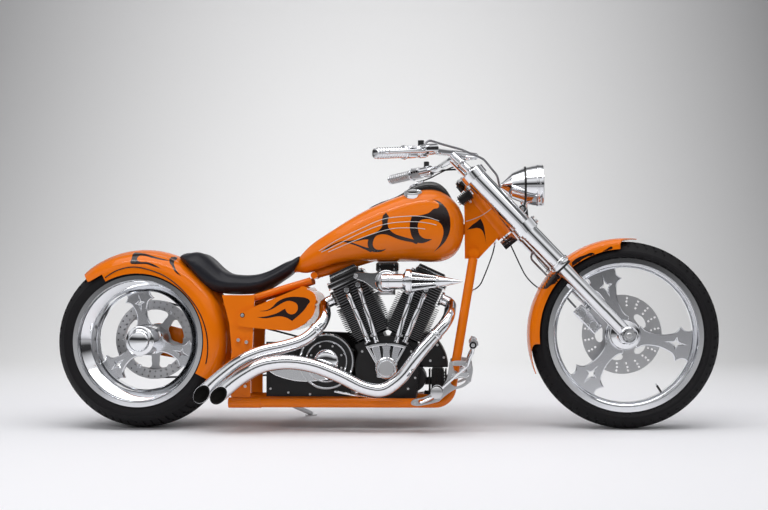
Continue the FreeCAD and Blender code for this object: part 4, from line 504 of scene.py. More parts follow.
# Rim points are (in from the edge, radius), under the tyre and then towards the hub
wheelSizes = {
    "front": {
        "half": 52, "outer": [(0, 281), (3, 282), (6, 281), (6, 268), (22, 268), (33, 253)],
        "inner": [(0, 264), (5, 261), (22, 259), (25, 255), (33, 249), (37.4, 247)], "groove": [],
        "hub": [(-62, 14), (-62, 30), (-58, 34), (-38, 34), (-34, 52), (-30, 55), (-24, 58), (24, 58),
                (30, 55), (34, 52), (38, 34), (62, 34), (62, 14)],
        "blade": {"hub": 52, "barrel": 250, "wide": 1.0, "thickness": 20, "bevel": 4, "star": 26,
                  "starPlace": 0.70, "angles": (110, -10, 230), "offset": 0},
    },
    "rear": {
        "half": 118, "outer": [(0, 243), (3, 244), (6, 243), (6, 230), (36, 230), (54, 196)],
        "inner": [(0, 227), (8, 224), (30, 223), (36, 217), (56, 193), (60, 190)],
        "groove": [(34, 190), (30, 186), (0, 186), (-4, 190)],
        "hub": [(-90, 26), (-90, 50), (-87, 54), (-60, 56), (-30, 58), (0, 60), (28, 60), (40, 52), (90, 44),
                (90, 26)],
        "blade": {"hub": 50, "barrel": 192, "wide": 0.86, "thickness": 22, "bevel": 4, "star": 17,
                  "starPlace": 0.66, "angles": (100, -20, 220), "offset": 14},
    },
}


def bladePoints(hub, barrel, wide):
    start, stop = bladeSide[0][0], bladeSide[-1][0]
    share = (barrel - hub) / (stop - start)
    right = [(wide * point[1], hub + (point[0] - start) * share, *point[2:]) for point in bladeSide]
    left = [(-point[0], *point[1:]) for point in reversed(right)]
    return right + left


def gothicSpokes(wheel, blade, centre):
    hub, barrel, reach = blade["hub"], blade["barrel"], blade["star"]
    outline = bladePoints(hub, barrel, blade["wide"])
    middle = hub + (barrel - hub) * blade["starPlace"]
    star = [(point[0] * reach, middle + point[1] * reach, *point[2:]) for point in bladeStar]
    for angle in blade["angles"]:
        turn = moved(*centre) @ Matrix.Rotation(math.radians(90 - angle), 4, "Y") @ moved(*-centre)
        place = sideways(centre + Vector((0, blade["offset"], 0)))
        wheel.join(platePart([outline, star], blade["thickness"], place, blade["bevel"]), polished, turn)


def wheelStart(end, centre):
    size = wheelSizes[end]
    node = end + "_wheel"
    wheel = Piece(node + "_dressed", node, "chrome", chrome, brushed, glossBlack, polished)
    axle = facing(centre, toLeft)
    outer = [(inset - size["half"], radius) for inset, radius in size["outer"]]
    inner = [(size["half"] - inset, radius) for inset, radius in size["inner"]]
    wheel.join(turnedPart(outer + flipped(outer) + inner + size["groove"] + flipped(inner), axle, 120))
    gothicSpokes(wheel, size["blade"], centre)
    wheel.join(turnedPart(size["hub"], axle))
    return wheel, axle


def frontWheel():
    wheel, axle = wheelStart("front", frontAxle)
    for side in (-1, 1):
        seal = [(side * 25, 40), (side * 31, 41), (side * 31, 49), (side * 25, 50)]
        wheel.join(turnedPart(seal, axle, 60), brushed)
    turn = math.radians(-58)
    valve = frontAxle + Vector((math.cos(turn) * 246, -4, math.sin(turn) * 246))
    inward = (frontAxle - valve).normalized()
    wheel.join(rodPart(valve, valve + inward * 26, 4.2, sides=12), glossBlack)
    wheel.join(rodPart(valve + inward * 26, valve + inward * 34, 3.2, sides=12), chrome)
    wheel.done("front_wheel")


def rearWheel():
    wheel, axle = wheelStart("rear", rearAxle)
    cap = [(-108, 0), (-108, 30), (-105, 35), (-101, 38), (-95, 40), (-92, 44), (-90, 52), (-90, 0)]
    wheel.join(turnedPart(cap, axle, 60), chrome)
    wheel.done("rear_wheel")


# "cuts" are tread slots: from and to a share of the shoulder's width, and the step of the pitch
tyreSizes = {
    "front": {"crown": 344, "half": 65, "shoulder": 56, "bead": 281.5, "beadHalf": 46, "pitch": 60,
              "depth": 4.0, "drop": 31, "grooves": (0.0, 0.14, 0.30, 0.46, 0.62, 0.80, 0.97),
              "cuts": [(0.30, 0.46, 0), (0.46, 0.62, 1), (0.62, 0.80, 1), (0.80, 0.97, 2)]},
    "rear": {"crown": 325, "half": 121, "shoulder": 109, "bead": 243.5, "beadHalf": 112, "pitch": 64,
             "depth": 4.5, "drop": 38, "grooves": (0.0, 0.10, 0.20, 0.36, 0.54, 0.72, 0.90, 0.98),
             "cuts": [(0.20, 0.36, 0), (0.36, 0.54, 1), (0.54, 0.72, 1), (0.72, 0.90, 2)]},
}


def tyreProfile(size):
    shoulder, drop, half = size["shoulder"], size["drop"], size["half"]
    bead, beadHalf = size["bead"], size["beadHalf"]
    radius = (shoulder * shoulder + drop * drop) / (2 * drop)
    right = []
    for share in size["grooves"]:
        across = share * shoulder
        right.append((across, size["crown"] - radius + math.sqrt(radius * radius - across ** 2)))
    edge = right[-1][1]
    right += [(half - 2, edge - (edge - bead) * 0.28), (half, edge - (edge - bead) * 0.52),
              (half - 2.5, bead + 12), (half - 6, bead + 7), (beadHalf + 1, bead + 1),
              (beadHalf - 1, bead - 12)]
    return flipped(right) + right


def tyre(end, centre):
    size = tyreSizes[end]
    piece = Piece(end + "_tyre_dressed", end + "_wheel", "tyre", rubber)
    steps = size["pitch"] * 4
    bm = turnedPart(tyreProfile(size), Matrix.Identity(4), steps)
    cut = []
    for face in bm.faces:
        middle = face.calc_center_median()
        across = abs(middle.z) / size["shoulder"]
        step = int(round((math.atan2(middle.y, middle.x) / math.tau) * steps)) % 4
        for low, high, want in size["cuts"]:
            if low < across < high and step == (want + (1 if middle.z > 0 else 0)) % 4:
                cut.append(face)
    shape = bmesh.ops.extrude_face_region(bm, geom=cut)
    bmesh.ops.delete(bm, geom=cut, context="FACES")
    for vert in (item for item in shape["geom"] if isinstance(item, bmesh.types.BMVert)):
        vert.co -= Vector((vert.co.x, vert.co.y, 0)).normalized() * size["depth"]
    facesOut(bm)
    piece.join(bm, place=facing(centre, toLeft))
    piece.done(end + "_tyre", sharp=24)


frontWheel()
rearWheel()
tyre("front", frontAxle)
tyre("rear", rearAxle)

print("brake discs")
discSizes = {
    "outer": 148, "inner": 62, "thickness": 5, "place": 64.5, "windows": 5, "drillRings": (110, 124, 137),
    "drills": 20, "drill": 4.0, "twist": 0.024084,
    "window": ((-0.30, 76), (-0.12, 72), (0.12, 72), (0.30, 76), (0.34, 88), (0.16, 98), (-0.16, 98),
               (-0.34, 88)),
}


# Openings round a disc, each from points (angle from its middle, radius)
def windowsRound(points, count, start):
    outlines = []
    for window in range(count):
        middle = math.tau * (window + start) / count
        outlines.append([(math.cos(middle + step) * radius, math.sin(middle + step) * radius)
                         for step, radius in points])
    return outlines


def drillings(rings, count, radius, twist):
    return [circle(radius, spot, 6)
            for ring in rings for spot in circle(ring, count=count, start=ring * twist)]


def frontDisc():
    size = discSizes
    place = sideways(frontAxle + Vector((0, size["place"], 0)))
    disc = Piece("front_disc_dressed", "front_wheel", "steel", brushed, chrome)
    outlines = [circle(size["outer"], count=24), circle(size["inner"], count=16)]
    outlines += windowsRound(size["window"], size["windows"], 0.5)
    outlines += drillings(size["drillRings"], size["drills"], size["drill"], size["twist"])
    disc.join(platePart(outlines, size["thickness"], place, 0.6, steps=4), brushed)
    disc.join(platePart([circle(70, count=16), circle(24, count=12)], 4, place, 0.8, steps=6), chrome)
    disc.done("front_disc")


frontDisc()

print("flames and stripes")
# Drawn on the right side, at (forward, up)
flameOutlines = {
    "tank": [
        [(1091, 843, 1), (1116, 834), (1137, 815), (1152, 788), (1157, 758), (1155, 726), (1143, 695),
         (1125, 672), (1097, 650, 1), (1117, 674), (1128, 699), (1132, 722), (1126, 746), (1112, 759),
         (1093, 766), (1066, 768), (1045, 761), (1039, 745), (1041, 725), (1048, 708), (1063, 698),
         (1091, 695, 1), (1075, 687), (1052, 681), (1034, 685), (1020, 700), (1012, 723), (1010, 750),
         (1017, 778, 1), (1039, 781), (1061, 785), (1082, 793), (1096, 805), (1114, 811), (1116, 823),
         (1105, 835)],
        [(911, 783, 1), (922, 794, 1), (933, 780, 1), (929, 762), (930, 744), (938, 729), (956, 715),
         (984, 705), (1013, 697), (1025, 693), (1038, 681), (1015, 685), (988, 690), (961, 698), (938, 708),
         (915, 714), (899, 713), (885, 707), (876, 692), (874, 673), (882, 662), (901, 658), (922, 661, 1),
         (908, 653), (887, 650), (869, 653), (859, 663), (854, 680), (857, 696, 1), (842, 696), (823, 692),
         (800, 688, 1), (777, 686), (757, 688), (731, 679), (704, 664), (680, 653, 1), (704, 670), (731, 683),
         (754, 691), (777, 692), (805, 695), (832, 701), (860, 711), (883, 721), (901, 733), (909, 746),
         (908, 765)],
        [(757, 690, 1), (777, 690), (800, 684), (823, 676), (846, 668), (864, 662), (869, 653), (846, 659),
         (823, 669), (800, 678), (777, 685)],
    ],
    "cover": [
        [(459, 435, 1), (487, 439), (508, 451), (524, 467), (545, 479), (573, 486), (606, 486), (634, 481),
         (645, 471), (637, 457), (626, 441), (614, 428), (598, 414), (580, 399, 1), (565, 408), (549, 414),
         (528, 416), (504, 412), (479, 409), (450, 413, 1), (479, 415), (504, 421), (528, 429), (545, 439),
         (555, 444, 1), (559, 433), (571, 424), (585, 424), (598, 435), (601, 449), (596, 462), (581, 470),
         (565, 472), (549, 467), (528, 455), (508, 443), (483, 435)],
    ],
    "rear": [
        [(-27, 656, 1), (-2, 654, 1), (26, 648), (63, 637), (101, 627), (117, 622, 1), (90, 625), (53, 633),
         (20, 641), (1, 639), (-1, 626), (10, 619), (37, 617), (64, 608), (90, 593, 1), (64, 600), (37, 609),
         (10, 610), (-12, 610), (-24, 613), (-23, 634)],
        [(111, 638, 1), (130, 637), (132, 617), (144, 590), (166, 564, 1), (144, 579), (130, 600),
         (117, 617)],
    ],
    "neck": [
        [(1219, 735, 1), (1237, 752), (1254, 764), (1268, 776, 1), (1278, 756), (1284, 727), (1288, 681, 1),
         (1282, 714), (1271, 735), (1258, 741), (1241, 739)],
    ],
    "front": [
        [(1599, 609, 1), (1615, 623), (1647, 636), (1674, 644), (1683, 636), (1672, 634), (1647, 626),
         (1629, 613), (1617, 591), (1606, 588)],
        [(1694, 626, 1), (1701, 640), (1720, 654), (1747, 663), (1729, 652), (1710, 638), (1701, 623)],
        [(1478, 532), (1501, 555), (1522, 564), (1547, 568, 1), (1560, 550), (1546, 536), (1524, 527),
         (1501, 513)],
    ],
}
stripeRuns = {
    "tank": [
        [(671, 657), (699, 672), (731, 693), (777, 713), (823, 733), (869, 754), (911, 772), (961, 777),
         (1007, 780), (1052, 780), (1089, 772), (1116, 761)],
        [(680, 652), (731, 674), (786, 701), (842, 726), (897, 747), (938, 755), (984, 759), (1029, 760),
         (1075, 755), (1107, 746)],
        [(706, 652), (754, 672), (805, 692), (860, 712), (915, 729), (961, 737), (1006, 737), (1048, 735),
         (1066, 732)],
    ],
    "neck": [
        [(1204, 764), (1225, 768), (1250, 777), (1275, 788), (1295, 801), (1308, 812)],
    ],
}
paintLift = {"gap": 0.35, "flameThick": 0.5, "cell": 7.0, "stripe": 1.3, "reach": 400.0}


def surfaceOf(node):
    bm = nodeShape(node)
    tree = BVHTree.FromBMesh(bm)
    bm.free()
    return tree


def onSurface(tree, x, z, side, lift):
    hit, normal, _, _ = tree.ray_cast(Vector((x, side * paintLift["reach"], z)), Vector((0, -side, 0)))
    if hit is None:
        return None
    return hit + normal * (lift if normal.y * side > 0 else -lift)


def skinLine(tree, points, side, lift):
    line = [onSurface(tree, x, z, side, lift) for x, z in points]
    return [spot for spot in line if spot]


def flamePart(outline, tree, side):
    bm = curveMesh(flatCurve([outline]))
    weld(bm, 0.05)
    cell = paintLift["cell"]
    for axis in (Vector((1, 0, 0)), Vector((0, 1, 0))):
        places = [vert.co.dot(axis) for vert in bm.verts]
        for step in range(math.ceil(min(places) / cell), math.ceil(max(places) / cell)):
            cutAt(bm, axis * step * cell, axis)
    bmesh.ops.triangulate(bm, faces=bm.faces)
    missed = []
    for vert in bm.verts:
        spot = onSurface(tree, vert.co.x, vert.co.y, side, paintLift["gap"])
        if spot is None:
            missed.append(vert)
        else:
            vert.co = spot
    bmesh.ops.delete(bm, geom=missed, context="VERTS")
    for face in bm.faces:
        face.normal_update()
        if face.normal.y * side < 0:
            face.normal_flip()
    bmesh.ops.solidify(bm, geom=bm.faces[:], thickness=paintLift["flameThick"])
    facesOut(bm)
    return bm


def stripePart(points, tree, side):
    bm = curveMesh(runCurve([(x, z, 0) for x, z in points], 4, 8))
    flat = [(vert.co.x, vert.co.y) for vert in bm.verts]
    bm.free()
    return wirePart(skinLine(tree, flat, side, 0.1), paintLift["stripe"], steps=2, sides=1)


def flames(place, body, target):
    tree = surfaceOf(target)
    for side, name in sides:
        piece = Piece("%s_flames_%s" % (place, name), body, "paint", flamePaint, stripePaint)
        for outline in flameOutlines.get(place, ()):
            piece.join(flamePart(outline, tree, side), flamePaint)
        for run in stripeRuns.get(place, ()):
            piece.join(stripePart(run, tree, side), stripePaint)
        piece.done()


flames("tank", "frame", "fuel_tank")
flames("cover", "frame", "oil_tank")
flames("rear", "frame", "rear_fender")
flames("neck", "frame", "backbone")
flames("front", "fork", "front_fender")

print("seat")
seatSizes = {"voxel": 0.006, "shrink": 2.0, "pressure": 3.0, "cap": 5.0, "frames": 16, "smooth": 6}


def seatPad():
    size = seatSizes
    bm = nodeShape("seat")
    facesOut(bm)
    bm.normal_update()
    for vert, normal in [(vert, vert.normal.copy()) for vert in bm.verts]:
        vert.co -= normal * size["shrink"]
    piece = Piece("seat_pad", "frame", "seat_cover", leather, glossBlack)
    piece.join(bm)
    pad = piece.done("seat", sharp=80)
    remesh = pad.modifiers.new("remesh", "REMESH")
    remesh.mode = "VOXEL"
    remesh.voxel_size = size["voxel"]
    smooth = pad.modifiers.new("smooth", "SMOOTH")
    smooth.iterations = size["smooth"]
    applyModifiers(pad)
    swell(pad)
    pad.data.shade_smooth()
    fine = pad.modifiers.new("fine", "SUBSURF")
    fine.levels = 1
    fine.render_levels = 1


def applyModifiers(piece):
    graph = bpy.context.evaluated_depsgraph_get()
    data = bpy.data.meshes.new_from_object(piece.evaluated_get(graph))
    piece.modifiers.clear()
    old = piece.data
    piece.data = data
    bpy.data.meshes.remove(old)


# Air presses the cover outward for a few frames, and no point of it moves further than the cap
def swell(piece):
    size = seatSizes
    start = [vert.co.copy() for vert in piece.data.vertices]
    cloth = piece.modifiers.new("cloth", "CLOTH")
    cloth.settings.use_pressure = True
    cloth.settings.uniform_pressure_force = size["pressure"]
    cloth.settings.effector_weights.gravity = 0.0
    cloth.point_cache.frame_start = 1
    cloth.point_cache.frame_end = size["frames"]
    for step in range(1, size["frames"] + 1):
        bpy.context.scene.frame_set(step)
    applyModifiers(piece)
    bpy.context.scene.frame_set(1)
    cap = size["cap"] * millimetre
    for vert, first in zip(piece.data.vertices, start):
        move = vert.co - first
        if move.length > cap:
            vert.co = first + move.normalized() * cap


seatPad()

print("engine")
veeSizes = {
    "crank": (922, 0, 226), "lean": 25.0, "foot": 125.6, "barrelTop": 277.2, "headTop": 347.8,
    "rockerTop": 387.0, "barrel": 55, "finOut": 83.5, "finAcross": 81.5, "corner": 26, "pitch": 7.4,
    "thick": 1.5, "headOut": 74.5, "headAcross": 87.5, "headPitch": 9.6, "headThick": 2.0,
    "rodReach": 116, "rodAcross": -108,
}


def veePlace(side):
    lean = math.radians(veeSizes["lean"]) * side
    out = Vector((math.cos(lean), 0, -math.sin(lean)))
    up = Vector((math.sin(lean), 0, math.cos(lean)))
    return frameMatrix(veeSizes["crank"], out, toLeft, up)


# A plate with rounded corners, with one finish on its faces and another along its rim
def finPart(halfLong, halfWide, corner, low, thick, rim=1, face=0):
    bm = cubeShape(halfLong * 2, halfWide * 2, thick)
    upright = [edge for edge in bm.edges if abs(edge.verts[0].co.z - edge.verts[1].co.z) > thick / 2]
    bmesh.ops.bevel(bm, geom=upright, offset=corner, affect="EDGES", segments=5, profile=0.5, material=-1)
    bmesh.ops.translate(bm, verts=bm.verts, vec=(0, 0, low + thick / 2))
    bm.normal_update()
    for flat in bm.faces:
        flat.material_index = rim if abs(flat.normal.z) < 0.5 else face
    return bm


def cylinder(end, side):
    size = veeSizes
    piece = Piece("cylinder_%s_dressed" % end, "frame", "engine_black", engineBlack, finEdge, chrome)
    place = veePlace(side)
    foot, top, barrel = size["foot"], size["barrelTop"], size["barrel"]
    profile = [(foot, 0), (foot, 62), (foot + 5, 62), (foot + 6, barrel), (top, barrel), (top, 0)]
    piece.join(turnedPart(profile, place, 48))
    level = foot + 9
    while level + size["thick"] < top - 3:
        share = (level - foot) / (top - foot)
        drawn = 9 * max(0.0, 0.35 - share) / 0.35
        fin = finPart(size["finOut"] - drawn, size["finAcross"] - drawn, size["corner"], level, size["thick"])
        piece.join(fin, place=place)
        level += size["pitch"]
    piece.join(finPart(66, 64, 22, foot + 8, top - foot - 9, 0), place=place)
    piece.done("cylinder_" + end)


def cylinderHead(end, side):
    size = veeSizes
    piece = Piece("head_%s_dressed" % end, "frame", "engine_black", engineBlack, finEdge, chrome, glossBlack)
    place = veePlace(side)
    low, high, top = size["barrelTop"] + 0.6, size["headTop"], size["rockerTop"]
    out, across = size["headOut"], size["headAcross"]
    band = {"rim": 2, "face": 2}   # chrome
    fins = [finPart(62, 72, 14, low, high - low, 0), finPart(out, across, 12, high - 2, 5, **band),
            finPart(out - 4, across - 4, 12, high + 17, 3, **band)]
    level = low + 0.5
    while level + size["headThick"] < high - 3:
        fins.append(finPart(out, across, 16, level, size["headThick"]))
        level += size["headPitch"]
    for fin in fins:
        piece.join(fin, place=place)
    piece.join(boxPart((out * 2 - 4, across * 2 - 4, 16), moved(0, 0, high + 11), 5), glossBlack, place)
    piece.join(boxPart((116, 156, 30), moved(0, 0, top - 15), 9), glossBlack, place)
    for y in (-52, 52):   # the rocker caps leave room for the backbone between them
        piece.join(boxPart((108, 46, 4), moved(0, y, top + 1), 1), chrome, place)
        piece.join(boxPart((104, 44, 12), moved(0, y, top + 6.5), 4), glossBlack, place)
    up = place.to_3x3() @ Vector((0, 0, 1))
    edge = [place @ Vector((x, y, high + 20)) for x in (-66, 66) for y in (-78, -26.52, 26.52, 78)]
    piece.bolts(chrome, up, edge, 4.6, 6)
    caps = [place @ Vector((x, y, top + 11)) for x in (-34, 34) for y in (-52.2, 52.2)]
    piece.bolts(chrome, up, caps, 5.5, 1.6, 12)
    for step in (0, 1):
        foot, tip = pushrodEnds(side, step)
        seat = tip + (tip - foot).normalized() * 15
        piece.join(rodPart((seat.x, -119, seat.z), (seat.x, -60, seat.z), 14.6, bevel=2.5), engineBlack)
        piece.join(rodPart((seat.x, -119.4, seat.z), (seat.x, -117, seat.z), 9, sides=24, bevel=0.8), chrome)
    port = place @ Vector((side * 70, -40, (low + high) / 2))
    outward = place.to_3x3() @ Vector((side, 0, 0))
    piece.join(rodPart(port, port + outward * 9, 27, sides=40, bevel=1.5), chrome)
    studs = [port + outward * 8 + Vector((0, y, 0)) for y in (-26, 26)]
    piece.bolts(finEdge, outward, studs, 4.5, 5)
    plug = place @ Vector((-side * 30, -86, (low + high) / 2 + 6))
    tilt = Vector((0, -1, 0.45)).normalized()
    piece.join(rodPart(plug, plug + tilt * 18, 7, 6, 16, 1), glossBlack)
    piece.done("head_" + end)


def pushrodEnds(side, step):
    size = veeSizes
    x, _, z = size["crank"]
    reach, across = size["rodReach"], size["rodAcross"]
    foot = Vector((x + side * reach * (0.30 + 0.27 * step), across, z + reach * 0.8 + 0.8))
    return foot, veePlace(side) @ Vector((side * 150 * (-0.22 + 0.30 * step), across, 305))


def pushrods():
    piece = Piece("pushrod_tubes_dressed", "frame", "chrome", chrome, glossBlack)
    for side, step in ((-1, 0), (-1, 1), (1, 0), (1, 1)):
        foot, tip = pushrodEnds(side, step)
        run = (tip - foot).normalized()
        length = (tip - foot).length
        ring = length * 0.42
        profile = [(0, 0), (0, 10.9), (5, 10.9), (6, 9.2), (20, 9.2), (21.5, 10.6), (27, 10.6), (28.5, 9.8),
                   (ring, 9.8), (ring + 1, 10.9), (ring + 4, 10.9), (ring + 5, 9.8), (length - 60, 9.6),
                   (length - 58, 8.6), (length - 22, 8.6), (length - 20, 10.2), (length - 2, 10.2),
                   (length, 9), (length, 0)]
        piece.join(turnedPart(profile, facing(foot, run), 32), chrome)
        for along in (23.5, length - 59):
            seal = [(-1.2, 8), (-1.2, 10.8), (1.2, 10.8), (1.2, 8)]
            piece.join(turnedPart(seal, facing(foot + run * along, run), 32), glossBlack)
    piece.done("pushrod_tubes")


# Outlines from the crank's middle, at (forward, up), and the round cap's profile
camOutline = [(-41, 18, 1), (-76, 79, 1), (-42, 89), (0, 92), (42, 89), (76, 79, 1), (41, 18, 1),
              (36, -34, 1), (0, -36), (-36, -34, 1)]
camWindow = [(-32, 20, 1), (-60, 73, 1), (-36, 79), (0, 82), (36, 79), (60, 73, 1), (32, 20, 1), (20, 6),
             (-20, 6)]
camCap = [(96, 0), (96, 40), (118, 40), (120.5, 37.5), (124, 37), (128.5, 37), (130.4, 35), (130.4, 31),
          (128.8, 30), (128.8, 29), (130.6, 27), (130.9, 14), (130.0, 12), (129.6, 0)]


def camCover():
    x, _, z = veeSizes["crank"]
    piece = Piece("cam_cover_dressed", "frame", "chrome", chrome, brushed, glossBlack, polished)
    place = moved(x, 0, z)
    piece.join(sidePlate([camOutline], 95.6, 108, 2), glossBlack, place)
    piece.join(sidePlate([camOutline, camWindow], 101, 118.6, 2.5), chrome, place)
    for along in (-24, 0, 24):
        top = along * 1.72
        rib = [(along - 10, 18, 1), (top - 15, 80, 1), (top + 15, 80, 1), (along + 10, 18, 1)]
        piece.join(sidePlate([rib], 100, 116, 2), polished, place)
    right = facing((x, 0, z), toRight)
    piece.join(turnedPart(camCap, right), chrome)
    piece.join(turnedPart([(128.2, 0), (129.5, 27.5), (131.0, 26.5), (131.0, 0)], right, 60), brushed)
    piece.sideBolts(brushed, -129.8, circle(33.2, (x, z), 4, math.radians(45)), 2.6, 1.1, 8)
    spots = ((-67, 76), (0, 87), (67, 76), (-36, 14), (36, 14), (-31, -29), (31, -29))
    piece.sideBolts(brushed, -118.2, [(x + along, z + up) for along, up in spots], 4.2, 3.2)
    piece.done("cam_cover")


cleanerSizes = {
    "axis": (-176, 539), "ribs": 8,
    "mouth": [(908.5, 0), (908.5, 24), (911, 27.5), (930, 27.5), (931, 29), (936, 29), (937, 27.5),
              (986, 27.5), (992, 33), (996, 42), (998, 45.5), (1002, 46), (1012, 46), (1015, 44), (1017, 38),
              (1017, 0)],
    "tip": [(1104, 0), (1104, 21), (1107, 23.5), (1112, 23.5), (1115, 21), (1117, 20.4), (1150, 14.2),
            (1180, 7.6), (1196, 3.6), (1201, 1.2), (1201.4, 0)],
    "bracket": [(812, 572), (806, 565), (806, 557), (814, 551), (842, 541), (884, 512), (925, 499),
                (960, 520), (967, 541), (960, 565), (925, 582), (880, 572), (842, 574)],
}


def airCleaner():
    size = cleanerSizes
    y, z = size["axis"]
    piece = Piece("air_cleaner_dressed", "frame", "chrome", chrome, glossBlack, brushed)
    along = facing((0, y, z), forward)
    piece.join(turnedPart(size["mouth"], along), chrome)
    piece.join(turnedPart([(1016, 0), (1016, 31), (1106, 17), (1106, 0)], along, 48), glossBlack)
    for aside, up in circle(1, count=size["ribs"], start=math.pi / size["ribs"]):
        out = Vector((0, aside, up))
        start, stop = Vector((1014, y, z)) + out * 32, Vector((1108, y, z)) + out * 17.5
        piece.join(rodPart(start, stop, 6.4, 4.0, 14), chrome)
    piece.join(turnedPart([(1015, 30), (1015, 40), (1019, 39), (1021, 30)], along, 64), chrome)
    piece.join(turnedPart(size["tip"], along, 60), chrome)
    for aside, up in circle(1, count=4, start=math.radians(45)):
        piece.join(boltPart((1000, y + 45 * aside, z + 45 * up), (0, aside, up), 3, 1, 8), brushed)
    piece.done("air_cleaner")
    bracket = Piece("cleaner_bracket", "frame", "chrome", chrome, brushed)
    holes = [circle(29, (925, 541), 16), circle(5, (815, 562), 8)]
    bracket.join(sidePlate([size["bracket"]] + holes, 142.5, 149.5), chrome)
    ring = [(143, 28), (143, 41), (151, 41), (153, 39), (153, 31), (151, 28)]
    bracket.join(turnedPart(ring, facing((925, 0, 541), toRight), 64), chrome)
    bracket.join(boltPart((815, -149, 562), toRight, 7, 5), brushed)
    bracket.done()


# Bolts round the cases, each with its washer, at (forward, up)
caseBolts = [(832, 286), (846, 316), (998, 316), (1012, 286), (866, 344), (978, 344), (834, 176), (858, 146),
             (1000, 150), (1026, 190)]


def caseDetails():
    piece = Piece("case_bolts", "frame", "steel", brushed, engineBlack)
    for x, z in caseBolts:
        piece.join(washerPart((x, -95, z), toRight, 7.5), engineBlack)
    piece.sideBolts(brushed, -95, caseBolts, 4.6, 5.5)
    piece.done()


cylinder("rear", -1)
cylinder("front", 1)
cylinderHead("rear", -1)
cylinderHead("front", 1)
pushrods()
camCover()
airCleaner()
caseDetails()

print("cases and exhausts")

clutchSizes = {
    "centre": (701, 250), "disc": 104,
    "dome": [(105, 0), (105, 47), (111, 47), (117, 44), (123, 37), (126.4, 27), (127.8, 14), (128.2, 0)],
    "arm": [(468, 238, 1), (492, 212), (546, 188), (622, 176), (712, 184, 1), (668, 208), (602, 226),
            (532, 240)],
    "door": [(478, 322, 1), (478, 258, 1), (582, 250, 1), (592, 290), (588, 322, 1)],
}


def gearboxCover():
    size = clutchSizes
    x, z = size["centre"]
    disc = size["disc"]
    piece = Piece("gearbox_cover_dressed", "frame", "chrome", chrome, engineBlack, brushed)
    right = facing((x, 0, z), toRight)
    back = [(98.4, 0), (98.4, disc), (103, disc), (106, disc - 3), (106, 0)]
    piece.join(turnedPart(back, right, 80), engineBlack)
    for outer, band in ((disc - 2, 9), (disc - 26, 7)):
        ring = [(105, outer - band), (105, outer), (110, outer), (113, outer - 2.5),
                (113, outer - band + 2.5), (110, outer - band)]
        piece.join(turnedPart(ring, right, 80), chrome)
    piece.join(turnedPart(size["dome"], right, 64), chrome)
    piece.sideBolts(brushed, -105.5, circle(60, (x, z), 8, math.pi / 8), 4, 4)
    piece.join(sidePlate([size["arm"]], 98.4, 112, 3), chrome)
    piece.join(sidePlate([size["door"]], 98.4, 103), engineBlack)
    piece.sideBolts(brushed, -98, ((488, 314), (578, 314), (488, 266), (560, 262)), 4.5, 7)
    piece.sideBolts(brushed, -98, ((494, 150), (560, 136), (640, 130), (760, 134)), 4.5, 5)
    piece.done("gearbox_cover")


pipeEnds = {
    "upper": {"end": (254.0, -175.9, 134.9), "before": (322.1, -175.9, 197.9)},
    "lower": {"end": (324.1, -214.0, 133.0), "before": (398.3, -214.0, 196.0)},
}
# "slash" is the cut's angle, and "rim" the outer radius of the lip round each bore
pipeSizes = {"slash": 33.0, "bore": 22.9, "wall": 1.2, "deep": 104, "rim": 26.4}
# Rings round the pipes: middle, direction, and the pipe's radius
pipeRings = [
    ((667.8, -148.5, 365.8), (0.631, 0.343, 0.697), 22.4),
    ((1101, -153, 347), (0.62, 0.316, 0.693), 21.8),
]


def slashCut(bm, end, outward, lift):
    cutAt(bm, end + outward * lift, outward, clear_outer=True)
    bmesh.ops.bridge_loops(bm, edges=[edge for edge in bm.edges if edge.is_boundary])
    facesOut(bm)
    return bm


def linerPart(start, outer, inner, end, run):
    profile = [(start, 0), (start, outer), (110, outer), (110, inner), (start + 2, inner), (start + 2, 0)]
    return turnedPart(profile, facing(end, run), 64)


def pipeDetails():
    size = pipeSizes
    black = Piece("pipe_bores", "frame", "engine_black", soot)
    rings = Piece("pipe_rings", "frame", "chrome", chrome, brushed)
    slash = math.radians(size["slash"])
    bore = size["bore"]
    for pipe in pipeEnds.values():
        end = Vector(pipe["end"])
        run = (end - Vector(pipe["before"])).normalized()
        outward = (run * math.sin(slash) - Vector((0, math.cos(slash), 0))).normalized()
        liner = linerPart(-size["deep"], bore, bore - size["wall"], end, run)
        black.join(slashCut(liner, end, outward, 0.2))
        rim = linerPart(-70, size["rim"], bore - 0.6, end, run)
        cutAt(rim, end - outward * 0.9, outward, clear_inner=True)
        black.join(slashCut(rim, end, outward, 0.7))
    for place, run, inside in pipeRings:
        ring = [(-9, inside - 1), (-9, inside + 2.4), (-7.5, inside + 3.4), (-3, inside + 3.4),
                (-2, inside + 2.2)]
        rings.join(turnedPart(ring + flipped(ring), facing(place, run), 60), chrome)
    rings.bolts(brushed, (0, -0.5, 0.85), ((610, -192, 246), (1046, -172, 286)), 5, 5)
    black.done()
    rings.done()


def sideCover():
    piece = Piece("side_cover_trim", "frame", "steel", brushed, glossBlack)
    for side, _ in sides:
        piece.join(washerPart((397, side * 143.2, 420), (0, side, 0), 9), glossBlack)
        piece.sideBolts(brushed, side * 144.5, [(397, 420)], 6, 3.5, 12)
        piece.sideBolts(brushed, side * 142.6, ((382, 330), (412, 322)), 7, 5)
    piece.done()


nosePlate = [(1040, 356, 1), (1076, 350), (1106, 326), (1130, 288), (1142, 250), (1144, 226, 1),
             (1040, 226, 1)]


